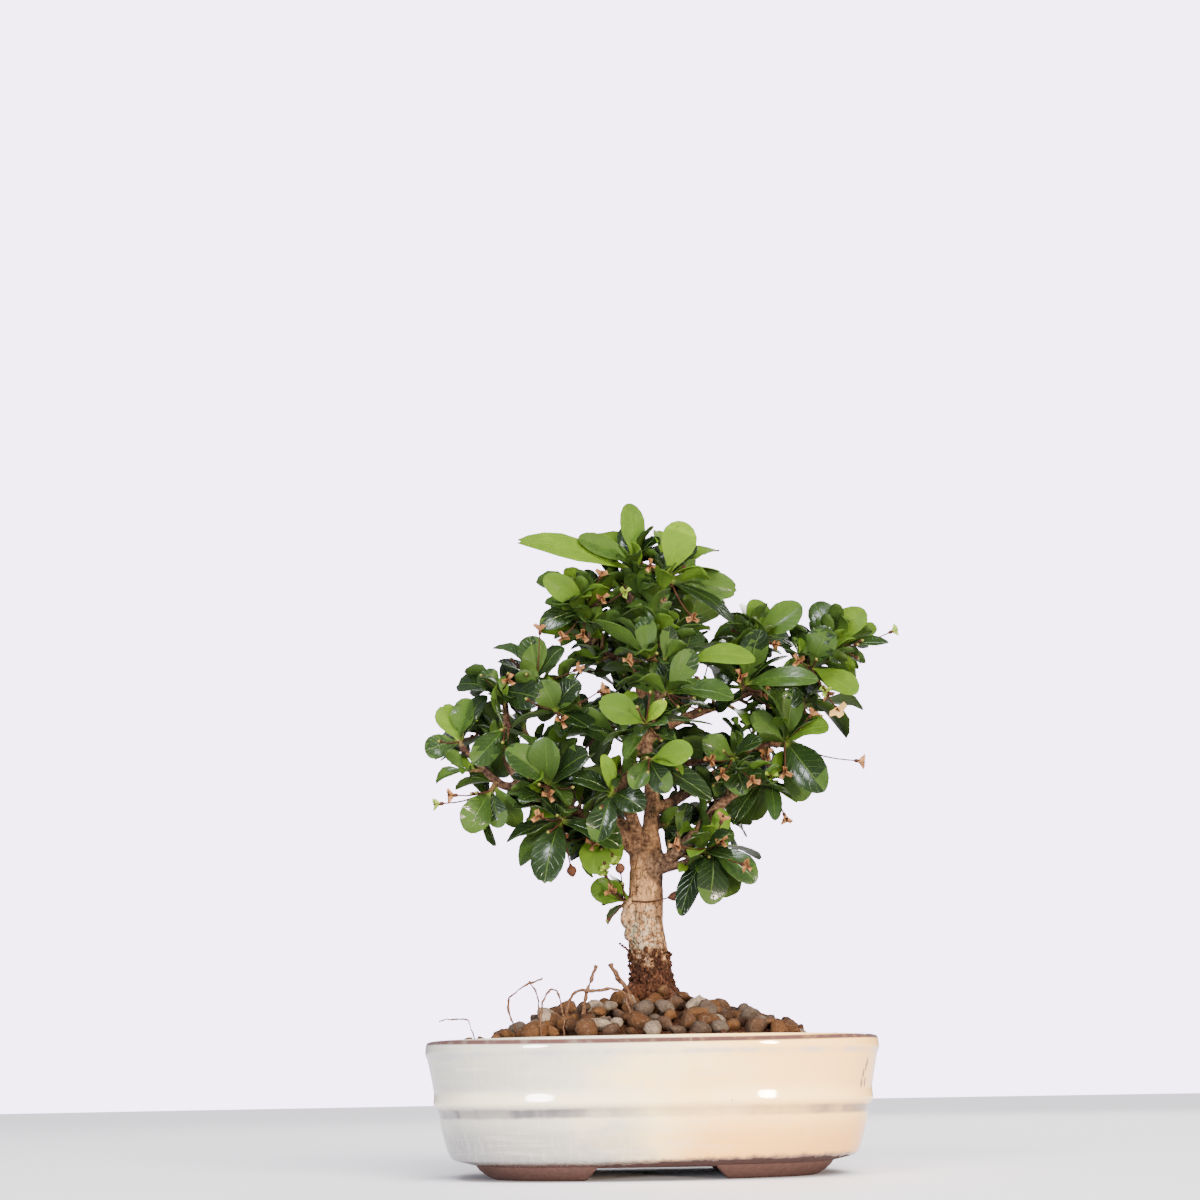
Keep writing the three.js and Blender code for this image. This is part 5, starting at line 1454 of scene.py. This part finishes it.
class Crowd:
    """Everything that a new leaf has to stay clear of"""

    def __init__(self):
        self.points = np.zeros((MOST_POINTS, 3))
        self.radii = np.zeros(MOST_POINTS)
        self.count = 0

    def add(self, point, radius=0.0):
        self.points[self.count] = point
        self.radii[self.count] = radius
        self.count += 1

    def keep(self, leaf):
        for mark in leaf_marks(leaf):
            self.add(mark)

    def room_at(self, mark):
        away = np.sqrt(((self.points[:self.count] - mark) ** 2).sum(axis=1))
        return float((away - self.radii[:self.count]).min())

    def room(self, leaf):
        return min(self.room_at(mark) for mark in leaf_marks(leaf))


print("points that stand for a leaf:", len(LEAF_MARKS))

# %% The growth rule
GROWTH_SEED = 2027
GOLDEN_ANGLE = math.pi * (3 - math.sqrt(5))
CROWN_MIDDLE = np.array([0.0, 4.0, 190.0])
FILL_LENGTH = 26
FILL_SLENDERNESS = 0.52
LEAF_ROOM = 4.2
WOOD_ROOM = 2.5
LEAF_TRIES = 14
LEAST_SPREAD = 0.55
SPREAD_RANGE = 0.75
OUTWARD_PULL = 0.35
INWARD_PULL = 0.6
UPWARD_PULL = 0.15
LOWEST_LEAF = 96
TWIG_END = 0.85
FACES = {"front": np.array([0, -1, 0.35]), "up": np.array([0, -0.25, 1])}


def form_for(value):
    return "toothed" if value < 0.12 else "notched" if value < 0.25 else "plain"


def twig_point(plant, t):
    return plant["start"] + (plant["end"] - plant["start"]) * t


def sprout(plant, at, turn, spread, length):
    """One new leaf on a twig, at a share along it, turned and spread away from it"""
    forward = unit(plant["end"] - plant["start"])
    across = unit(np.cross([0, 0, 1], forward))
    third = np.cross(forward, across)
    outward = unit(plant["end"] - CROWN_MIDDLE)
    way = (forward * math.cos(spread) + across * math.cos(turn) * math.sin(spread)
           + third * math.sin(turn) * math.sin(spread))
    way = way + outward * (0 if plant["at_front"] else OUTWARD_PULL)
    way = unit(way + np.array([0, INWARD_PULL if plant["at_front"] else 0, UPWARD_PULL]))
    base = twig_point(plant, at)
    return dict(base=base, tip=base + way * length, width=length * FILL_SLENDERNESS,
                age="ripe" if at > TWIG_END else "old",
                face=np.array([0, 0, 1]) + outward * 0.5, arch=0.08, fold=0.12, form="plain")


def grow_more(plant, draw, crowd):
    first = draw() * 2 * math.pi
    for k in range(plant["more"]):
        at = 1 - 0.5 * k / plant["more"]
        best, best_room = None, -math.inf
        attempt = 0
        while attempt < LEAF_TRIES and best_room < LEAF_ROOM:
            turn = first + k * GOLDEN_ANGLE + either_way(draw) * attempt
            spread = pick(draw, LEAST_SPREAD, SPREAD_RANGE)
            leaf = sprout(plant, at, turn, spread, FILL_LENGTH * pick(draw, 0.8, 0.4))
            room = -math.inf if leaf["tip"][2] < LOWEST_LEAF else crowd.room(leaf)
            if room > best_room:
                best, best_room = leaf, room
            attempt += 1
        plant["grown"].append(best)
        crowd.keep(best)


crowd = Crowd()
for limb in LIMBS.values():
    points = [np.array(point, float) for point in limb["points"]]
    for i in range(len(points) - 1):
        for share in (0, 0.5):
            crowd.add(points[i] + (points[i + 1] - points[i]) * share,
                      limb["radii"][i] + WOOD_ROOM - LEAF_ROOM)

draw = seeded(GROWTH_SEED)
plants = []
for spray in SPRAYS:
    plant = dict(spray, start=along_limb(spray["limb"], spray["at"]),
                 end=np.array(spray["hub"], float), grown=[], at_front=bool(spray["leaves"]))
    for x, y, z, width, age, face, at in spray["leaves"]:
        arch, fold = pick(draw, 0.03, 0.09), 0.28 * draw() - 0.06
        leaf = dict(base=twig_point(plant, at), tip=np.array([x, y, z], float), width=width,
                    age=age, face=FACES[face], arch=arch, fold=fold, form=form_for(draw()),
                    by_hand=True)
        plant["grown"].append(leaf)
        crowd.keep(leaf)
    plants.append(plant)
for plant in plants:
    grow_more(plant, draw, crowd)
print("leaves of the solid model:", sum(len(plant["grown"]) for plant in plants))

# %% [markdown]
# ## More leaves than the solid model has
# The real crown is denser: small leaves sit between the big ones, and short spurs carry
# little tufts along each limb. They come from their own draws, after the others, so that
# adding some here never moves a leaf that is already placed. None may leave the box that
# the solid model holds.

# %% Small leaves
EXTRA_SEED = 404
EXTRA_PER_TWIG = 5
EXTRA_AT_TOP = 24
EXTRA_AT_LEFT = 0
EXTRA_LENGTHS = (11, 21)
EXTRA_ROOM = 2.3
EXTRA_TRIES = 12
TOP_OF_CROWN = 238
LEFT_OF_CROWN = -45
YOUNG_FROM, RIPE_FROM = 0.84, 0.55
BOX_MARGIN = 1.5
# The gardener keeps the front of the fork free of leaves: lowest and highest corner
FORK_WINDOW = [np.array([-11, -70, 118]), np.array([12, 2, 168])]

box_low, box_high = [np.array(TO_FRAME.inverted() @ Vector(corner)) for corner in cad_bounds]


def marks_and_tip(leaf):
    return np.array([*leaf_marks(leaf), leaf["tip"]])


def inside(leaf):
    marks = marks_and_tip(leaf)
    return bool((marks > box_low + BOX_MARGIN).all() and (marks < box_high - BOX_MARGIN).all())


def hides_fork(leaf):
    marks = marks_and_tip(leaf)
    return bool(((marks > FORK_WINDOW[0]) & (marks < FORK_WINDOW[1])).all(axis=1).any())


def add_small(plant, count, draw, least, longest):
    """Adds up to count small leaves to a twig, where there is room for them"""
    first = draw() * 2 * math.pi
    for k in range(count):
        at = 1 - 0.7 * k / count
        for attempt in range(EXTRA_TRIES):
            turn = first + k * GOLDEN_ANGLE + either_way(draw) * (attempt + 1)
            length = pick(draw, least, longest - least)
            leaf = sprout(plant, at, turn, pick(draw, 0.4, 0.9), length)
            leaf["width"] = length * pick(draw, 0.42, 0.16)
            leaf["arch"], leaf["fold"] = pick(draw, 0.03, 0.1), 0.25 * draw()
            leaf["form"] = form_for(draw() + 0.1)
            age = draw()
            leaf["age"] = "young" if age > YOUNG_FROM else "ripe" if age > RIPE_FROM else "old"
            if leaf["tip"][2] > LOWEST_LEAF and inside(leaf) and crowd.room(leaf) > EXTRA_ROOM:
                plant["grown"].append(leaf)
                crowd.keep(leaf)
                break


draw = seeded(EXTRA_SEED)
for plant in plants:
    at_top, at_left = plant["end"][2] > TOP_OF_CROWN, plant["end"][0] < LEFT_OF_CROWN
    extra = EXTRA_AT_TOP if at_top else EXTRA_AT_LEFT if at_left else EXTRA_PER_TWIG
    add_small(plant, extra, draw, *EXTRA_LENGTHS)
print("leaves with the small ones:", sum(len(plant["grown"]) for plant in plants))

# %% Spurs
SPUR_STEP = 0.45
SPUR_LENGTH = 9
SPUR_LEAVES, TOP_SPUR_LEAVES = 4, 7
SPUR_LEAF_LENGTHS = (9, 18)
SPUR_TOP_BELOW = 20
# Steps between the spurs are this many times as long at the top and at the left
SPURS_AT_TOP = 0.45
SPURS_AT_LEFT = 2.2
# Spurs lean a little ahead along their limb, and a little up
AHEAD_PULL = 0.4
SPUR_RISE = np.array([0, 0, 0.35])
NOT_ALONG = [0.3, 0.2, 1]

spurs = []
for name, limb in LIMBS.items():
    if name == "trunk":
        continue
    at, last = 1.0, len(limb["points"]) - 1
    while at < last:
        start = along_limb(name, at)
        ahead = unit(along_limb(name, min(at + 0.5, last)) - along_limb(name, at - 0.5))
        turn = draw() * 2 * math.pi
        across = unit(np.cross(NOT_ALONG, ahead))
        third = np.cross(ahead, across)
        way = unit(across * math.cos(turn) + third * math.sin(turn) + ahead * AHEAD_PULL
                   + SPUR_RISE)
        spur = dict(start=start, end=start + way * SPUR_LENGTH * pick(draw, 0.6, 0.6), grown=[],
                    at_front=False)
        at_top = start[2] > TOP_OF_CROWN - SPUR_TOP_BELOW
        at_left = start[0] < LEFT_OF_CROWN
        leaf_count = TOP_SPUR_LEAVES if at_top else SPUR_LEAVES
        add_small(spur, leaf_count, draw, *SPUR_LEAF_LENGTHS)
        if spur["grown"]:
            spurs.append(spur)
        stretch = SPURS_AT_TOP if at_top else SPURS_AT_LEFT if at_left else 1
        at += SPUR_STEP * pick(draw, 0.8, 0.4) * stretch
for twig in plants + spurs:
    twig["grown"] = [leaf for leaf in twig["grown"] if "by_hand" in leaf or not hides_fork(leaf)]
leaf_count = sum(len(twig["grown"]) for twig in plants + spurs)
print("spurs:", len(spurs), "leaves in all:", leaf_count)

# %% [markdown]
# ## The leaf
# A fukien tea leaf is a small spoon: narrow at its foot, widest beyond the middle, with a
# round end that may be notched or have three teeth. Each starts as a flat grid, whose
# rows are pulled to the leaf's width. The grid is arched along the leaf, folded at the rib,
# waved a little at its edge and turned about its length by its own draw, because no two
# leaves catch the light alike. Solidify gives it the thickness of a real leaf. Small leaves
# get fewer rows and columns, as there are hundreds of them.

# %% One leaf
LEAF_SHEET = 0.36
FOOT_HALF_WIDTH = 0.4
# Columns, and how far along the leaf each row lies but the last
LEAF_GRIDS = {
    "big": (4, [0, 0.16, 0.33, 0.5, 0.66, 0.8, 0.92]),
    "small": (2, [0, 0.22, 0.45, 0.66, 0.84]),
}
# How far along the leaf its last row lies: at the rib, half way out and at the edge
LEAF_ENDS = {
    "plain": (1, 0.994, 0.975),
    "notched": (0.962, 0.996, 0.97),
    "toothed": (1, 0.972, 0.978),
}
LAYERS = ["along", "across", "shade", "under"]
# Shade runs from dark old leaves to bright young ones, and painted light and shade are added to it
SHADES = {"old": 0.11, "ripe": 0.40, "young": 0.73, "gold": 1.0}
SHADE_SPREAD = 0.26
# Painted light: leaves high in the crown are brighter. Painted shade: every leaf is darker, the
# small ones more.
PAINTED_LIGHT_AT_TOP = 0.09
TOP_LIGHT_FROM, TOP_LIGHT_DEPTH = 220, 50
PAINTED_SHADE_LISTED, PAINTED_SHADE_SMALL = 0.11, 0.15
# Placed leaves keep more of the pose that the photograph shows
SWING_BY_HAND = 0.4
BLUNT_FROM = 1.8
CURL_FROM = 0.55


def blade_reach(u, widest, wedge):
    """Half the blade's width at a share u along it, 1 at its widest place"""
    if u < widest:
        return math.sin(math.pi / 2 * u / widest) ** wedge
    beyond = (u - widest) / (1 - widest)
    return max(1 - beyond ** 2, 0) ** 0.5


def clipped(value):
    return min(max(value, 0), 1)


def add_leaf(bm, layers, leaf, size, draw):
    axis, length, out, side = leaf_frame(leaf)
    half_width = leaf["width"] / 2
    by_hand = "by_hand" in leaf
    slender = clipped(length / leaf["width"] - BLUNT_FROM)
    widest = 0.7 - 0.1 * slender - 0.06 * draw()
    wedge = pick(draw, 1.05, 0.5)
    swing = SWING_BY_HAND if by_hand else 1.0
    tilt = either_way(draw) * (0.3 + 1.6 * swing)
    fold = leaf["fold"] + 0.08 + 0.3 * swing * draw()
    out, side = (out * math.cos(tilt) + side * math.sin(tilt),
                 side * math.cos(tilt) - out * math.sin(tilt))
    wave, wave_place, curl = 0.16 * draw(), draw() * ANY_WAY, (0.9 * draw() - 0.2) * swing
    # Painted light brightens leaves high in the crown; painted shade darkens every leaf, the small
    # ones more
    height = clipped((leaf["tip"][2] - TOP_LIGHT_FROM) / TOP_LIGHT_DEPTH)
    shade = (SHADES[leaf["age"]] + SHADE_SPREAD * either_way(draw) + PAINTED_LIGHT_AT_TOP * height
             - (PAINTED_SHADE_LISTED if by_hand else PAINTED_SHADE_SMALL))
    columns, row_places = LEAF_GRIDS[size]
    rows = len(row_places)
    grid = bmesh.ops.create_grid(bm, x_segments=columns, y_segments=rows, size=1)
    for vert in grid["verts"]:
        across = vert.co.x
        row = round((vert.co.y + 1) / 2 * rows)
        if row < rows:
            u = row_places[row]
            reach = max(blade_reach(u, widest, wedge), FOOT_HALF_WIDTH / half_width) * across
        else:
            u = LEAF_ENDS[leaf["form"]][round(abs(across) * 2)]
            reach = blade_reach(LEAF_ENDS["plain"][2], widest, wedge) * across
        lift = arched(leaf, length, u) + fold * abs(reach) * half_width
        lift += half_width * across ** 2 * wave * math.sin(u * 9 + wave_place + across)
        lift -= curl * length * max(u - CURL_FROM, 0) ** 2
        vert.co = leaf["base"] + axis * length * u + side * reach * half_width + out * lift
        for layer, value in zip(layers, (u, across, shade, 0.0)):
            vert[layer] = value
    blade = faces_of(grid["verts"])
    made = bmesh.ops.solidify(bm, geom=blade, thickness=LEAF_SHEET)["geom"]
    for vert in only(bmesh.types.BMVert, made):
        vert[layers[LAYERS.index("under")]] = 1.0


for size in LEAF_GRIDS:
    test_mesh = bmesh.new()
    test_layers = [test_mesh.verts.layers.float.new(name) for name in LAYERS]
    add_leaf(test_mesh, test_layers, plants[0]["grown"][0], size, seeded(1))
    closed = all(edge.is_manifold for edge in test_mesh.edges)
    print(size, "leaf:", len(test_mesh.faces), "faces, closed:", closed)
    test_mesh.free()

# %% [markdown]
# ## Flowers and pods
# The flowers are five-lobed stars, white when open and brown when dry. A head is a circle
# of ten points: every other one is pulled in, the middle is pushed down to a cup, and it is
# solidified. A bud, a pod, an empty calyx or a wilted drop is a ball, drawn out at one end.
# All hang on stalks that are thin tubes with a little sag.

# %% Where they hang
FLOWER_KINDS = {
    "open": dict(radius=4.4, depth=2.8, between=0.55, tone=0.95),
    "dry": dict(radius=3.3, depth=3.4, between=0.2, tone=0.36),
    "bud": dict(radius=3.0, depth=3.4, between=0.22, tone=0.75),
    "calyx": dict(radius=0.75, depth=1.8, tone=0.6),
    "pod": dict(radius=2.3, depth=5.2, tone=0.1),
    "drop": dict(radius=2.3, depth=9.5, tone=0.12),
}
FLOWERS = [
    ["left_top", [-19, -28, 252], "dry"], ["left_top", [-35, -26, 236], "dry"],
    ["left_top", [-27, -29, 236], "dry"], ["left_up", [-31, -26, 219], "dry"],
    ["left_wedge", [-20, -38, 206], "dry"], ["top", [4, -28, 268], "dry"],
    ["top_right", [22, -40, 240], "dry"], ["right_drop", [73, -22, 222], "dry"],
    ["right_drop", [87, -28, 199], "open"], ["right_far", [117, -14, 238], "bud"],
    ["right_mid", [62, -32, 170], "dry"], ["right_mid", [76, -20, 197], "dry"],
    ["right_low", [62, -20, 152], "dry"], ["right_inner", [34, -38, 168], "dry"],
    ["right_under", [41, -36, 128], "dry"], ["right_under", [33, -28, 148], "dry"],
    ["low_left", [-46, -36, 150], "dry"], ["low_left", [-34, -24, 130], "pod"],
    ["left_hang", [-85, -28, 162], "dry"], ["left_hang", [-91, -30, 158], "bud"],
]
# Finer ones that the solid model leaves out. Each hangs from the spray nearest to it.
SMALL_FLOWERS = [
    [[-19, -24, 264], "dry"], [[-47, -24, 238], "dry"], [[-9, -36, 252], "bud"],
    [[82, -26, 209], "bud"], [[56, -28, 168], "bud"], [[46, -34, 166], "dry"],
    [[14, -38, 136], "dry"], [[-43, -38, 160], "dry"], [[-12, -20, 128], "pod"],
    [[-19, -24, 131], "bud"], [[-62, -26, 214], "dry"], [[-80, -18, 196], "bud"],
    [[96, -20, 176], "dry"], [[-4, 30, 256], "dry"], [[-60, 26, 190], "bud"],
    [[58, 28, 186], "dry"], [[30, 34, 224], "bud"], [[-30, 34, 168], "dry"],
    [[84, 22, 208], "dry"], [[-18.5, -21, 126], "bud"], [[-15.5, -22, 135], "bud"],
    [[10, -14, 117], "drop"],
]
# Thin old stalks, most with only the calyx left on them
OLD_STALKS = 3
OLD_STALK_SEED = 12
OLD_STALK_SPREAD = 2.2
OLD_STALK_LENGTH = 8
STILL_DRY = 0.75


def nearest_plant(place):
    """The spray whose hub is nearest"""
    return min(plants, key=lambda plant: float(((plant["end"] - place) ** 2).sum()))


hung = {plant["name"]: [] for plant in plants}
for name, place, kind in FLOWERS:
    hung["spray_" + name].append((place, kind))
for place, kind in SMALL_FLOWERS:
    hung[nearest_plant(np.array(place))["name"]].append((place, kind))
draw = seeded(OLD_STALK_SEED)
for plant in plants:
    for _ in range(OLD_STALKS):
        aside = np.array([draw() - 0.5, draw() - 0.5, draw() - 0.7]) * OLD_STALK_SPREAD
        way = unit(unit(plant["end"] - plant["start"]) + aside)
        place = plant["end"] + way * pick(draw, OLD_STALK_LENGTH, OLD_STALK_LENGTH)
        hung[plant["name"]].append((place, "dry" if draw() > STILL_DRY else "calyx"))
print("flowers and old stalks:", sum(len(heads) for heads in hung.values()))

# %% One flower
STALK_RADIUS = 0.36
STALK_STEPS = 7
STALK_SIDES = 6
STALK_SAG = 0.06
PETAL_SHEET = 0.3
LOBES = 5
CUP_SIZE = (0.9, 0.9, 1.5, 1)
PISTIL_SIZE = (0.45, 0.45, 1.6, 1)
# Places in a spray's list of materials, whose first is the leaf's
TWIG_PAINT, FLOWER_PAINT = 1, 2


def paint_from(bm, before, paint):
    """Gives a material to all faces made since there were only before of them"""
    bm.faces.ensure_lookup_table()
    for face in bm.faces[before:]:
        face.material_index = paint


def add_star(bm, form, turn, draw):
    """A head with lobes: a circle with every other point pulled in, made a thin sheet"""
    head = bmesh.ops.create_circle(bm, cap_ends=True, cap_tris=True, segments=2 * LOBES,
                                   radius=1)["verts"]
    for vert in head:
        between = round(math.atan2(vert.co.y, vert.co.x) / (math.pi / LOBES)) % 2
        reach = vert.co.xy.length * form["radius"] * (form["between"] if between else 1)
        reach *= pick(draw, 0.9, 0.25)
        is_rim = vert.co.xy.length > 0.1
        rise = form["depth"] * (1 if is_rim else 0.35) * pick(draw, 0.85, 0.3)
        vert.co = (*(vert.co.xy.normalized() * reach), rise * (1 if is_rim else 0.35))
    sheet = bmesh.ops.solidify(bm, geom=faces_of(head), thickness=PETAL_SHEET)["geom"]
    head += only(bmesh.types.BMVert, sheet)
    bmesh.ops.transform(bm, matrix=turn, verts=head)
    pistil = turn @ Matrix.Translation((0, 0, form["depth"] * 0.7)) @ Matrix.Diagonal(PISTIL_SIZE)
    bmesh.ops.create_uvsphere(bm, u_segments=6, v_segments=4, radius=1, matrix=pistil)
    return head


def add_ball(bm, form, turn):
    """A head without lobes: a ball, narrower and longer at its far end"""
    head = bmesh.ops.create_uvsphere(bm, u_segments=10, v_segments=8, radius=1)["verts"]
    for vert in head:
        narrow = 1 - 0.35 * max(vert.co.z, 0)
        vert.co = (vert.co.x * form["radius"] * narrow, vert.co.y * form["radius"] * narrow,
                   (vert.co.z + 0.8) * form["depth"] / 2)
    bmesh.ops.transform(bm, matrix=turn, verts=head)
    return head


def add_flower(bm, tone_layer, start, place, kind, draw):
    """A stalk and its head. Faces that it makes get the third material."""
    form = FLOWER_KINDS[kind]
    start, end = Vector(start), Vector(place)
    before = len(bm.faces)
    middle = start.lerp(end, 0.55) + Vector((0, 0, -STALK_SAG * (end - start).length))
    radii = [STALK_RADIUS * (1.15 - 0.3 * i / STALK_STEPS) for i in range(STALK_STEPS)]
    sweep(bm, smooth_path([start, middle, end], STALK_STEPS), radii, STALK_SIDES)
    turn = Matrix.Translation(end) @ turn_to((end - middle).normalized())
    turn = turn @ Matrix.Rotation(draw() * ANY_WAY, 4, "Z")
    bmesh.ops.create_uvsphere(bm, u_segments=8, v_segments=5, radius=1,
                              matrix=turn @ Matrix.Diagonal(CUP_SIZE))
    head = add_star(bm, form, turn, draw) if "between" in form else add_ball(bm, form, turn)
    for vert in head:
        vert[tone_layer] = form["tone"]
    paint_from(bm, before, FLOWER_PAINT)


print("kinds of flowers:", ", ".join(FLOWER_KINDS))

# %% [markdown]
# ## Leaf, twig and flower materials
# An old leaf is dark and waxy, a young one thin, matt and yellow-green. One attribute, the
# shade, runs from old to young, with painted light added high in the crown and painted shade
# on every leaf, most on the small ones. Two more say how far a point is along and across its
# leaf, which draws the rib and the slanting side veins, and the last one marks the underside,
# which is paler and less shiny.

# %% Leaf material
VEINS_PER_LEAF = 8.0
VEIN_SLANT = 2.2
RIB_SHARE, VEIN_SHARE = 0.24, 0.08

leaf_finish = Finish("waxy_leaf", IOR=1.45)
along, across = leaf_finish.attribute("along"), leaf_finish.attribute("across")
shade, under = leaf_finish.attribute("shade"), leaf_finish.attribute("under")
blotch = leaf_finish.noise(0.22, 4)
speckle = leaf_finish.noise(1.5)
shifted = shade + (blotch - 0.5) * 0.3
leaf_colour = colour_ramp(
    shifted, (0.0, 0.005, 0.011, 0.003), (0.25, 0.011, 0.024, 0.005), (0.5, 0.026, 0.052, 0.007),
    (0.75, 0.058, 0.105, 0.008), (0.92, 0.100, 0.165, 0.009), (1.0, 0.20, 0.23, 0.012))
from_rib = abs(across)
rib = ramp(from_rib, 0.01, 0.07, 1.0, 0.0)
slant = along * VEINS_PER_LEAF - from_rib * VEIN_SLANT
veins = ramp(abs(math_of("FRACT", slant) - 0.5), 0.0, 0.1, 1.0, 0.0)
vein_share = math_of("MAXIMUM", rib * RIB_SHARE, veins * VEIN_SHARE)
leaf_colour = blended(vein_share, leaf_colour, rgb(0.10, 0.17, 0.02))
leaf_colour = blended(under * 0.45, leaf_colour, rgb(0.045, 0.085, 0.013))
leaf_foot = ramp(along, 0.02, 0.16, 0.8, 0.0)
leaf_colour = blended(leaf_foot, leaf_colour, rgb(0.10, 0.13, 0.02))
gloss = ramp(shifted, 0.2, 0.8, 0.14, 0.4) + speckle * 0.12
wax = ramp(shifted, 0.15, 0.7, 0.42, 0.08) * ramp(under, 0, 1, 1.0, 0.2)
relief = speckle * 0.25 - (rib + veins * 0.35)
leaf_finish.set(
    Base_Color=leaf_colour,
    Roughness=gloss + under * 0.2,
    Specular_IOR_Level=wax,
    Normal=bump_of(relief, 0.6, 0.3),
)
print("material:", leaf_finish.material.name)

# %% Twig material
twig_finish = Finish("young_twig", Specular_IOR_Level=0.15)
skin = twig_finish.noise(1.2, 5)
twig_finish.set(
    Base_Color=colour_ramp(skin, (0.3, 0.025, 0.013, 0.007), (0.5, 0.07, 0.042, 0.018),
                           (0.7, 0.12, 0.095, 0.035)),
    Roughness=ramp(skin, 0.3, 0.7, 0.8, 0.55),
    Normal=bump_of(skin, 0.7, 0.3),
)
print("material:", twig_finish.material.name)

# %% Flower material
flower_finish = Finish("flowers_and_pods", Specular_IOR_Level=0.1)
flower_tone = flower_finish.attribute("tone")
dapple = flower_finish.noise(1.1, 4)
flower_finish.set(
    Base_Color=colour_ramp(
        flower_tone + (dapple - 0.5) * 0.3,
        (0.0, 0.035, 0.014, 0.008), (0.12, 0.070, 0.028, 0.015), (0.25, 0.10, 0.040, 0.018),
        (0.42, 0.28, 0.135, 0.055), (0.60, 0.11, 0.12, 0.025), (0.75, 0.17, 0.26, 0.03),
        (1.0, 0.55, 0.30, 0.11)),
    Roughness=ramp(dapple, 0.3, 0.7, 0.8, 0.5),
    Normal=bump_of(dapple, 0.6, 0.25),
)
print("material:", flower_finish.material.name)

# %% [markdown]
# ## Build the crown
# One piece is made for each spray of the solid model and stands for it. It holds the twig,
# its leaves and its flowers. A spur belongs to the spray whose hub is nearest. The twig
# is a thin tube with a knob under each leaf, where older leaves have dropped.

# %% Sprays
TWIG_RADII = [1.35, 1.2, 1.3, 1.05, 1.15, 0.85]
SPUR_RADII = [1.0, 0.85, 0.6]
TWIG_SIDES = 8
CROWN_SEED = 77
FLOWER_START = 0.9
# How far flowers, and any point at all, stay inside the solid model's box
FLOWER_ROOM = 3.6
BOX_SKIN = 0.15

spurs_of = {plant["name"]: [] for plant in plants}
for spur in spurs:
    spurs_of[nearest_plant(spur["end"])["name"]].append(spur)

draw = seeded(CROWN_SEED)
crown_triangles = 0
for plant in plants:
    name = plant["name"]
    bm = bmesh.new()
    layers = [bm.verts.layers.float.new(layer) for layer in LAYERS]
    tone_layer = bm.verts.layers.float.new("tone")
    for twig in [plant, *spurs_of[name]]:
        for leaf in twig["grown"]:
            add_leaf(bm, layers, leaf, "big" if "by_hand" in leaf else "small", draw)
    leaf_faces = len(bm.faces)
    for twig, radii in [(plant, TWIG_RADII), *[(spur, SPUR_RADII) for spur in spurs_of[name]]]:
        start, end = Vector(twig["start"]), Vector(twig["end"])
        places = [start.lerp(end, i / (len(radii) - 1)) for i in range(len(radii))]
        sweep(bm, places, radii, TWIG_SIDES)
    paint_from(bm, leaf_faces, TWIG_PAINT)
    for place, kind in hung[name]:
        place = np.clip(place, box_low + FLOWER_ROOM, box_high - FLOWER_ROOM)
        add_flower(bm, tone_layer, twig_point(plant, FLOWER_START), place, kind, draw)
    for vert in bm.verts:
        vert.co = np.clip(vert.co, box_low + BOX_SKIN, box_high - BOX_SKIN)
    piece = add_piece(name.replace("spray_", "leaves_"), bm,
                      [leaf_finish, twig_finish, flower_finish], [name], crease=60)
    crown_triangles += triangles(piece)
print("crown:", crown_triangles, "triangles")
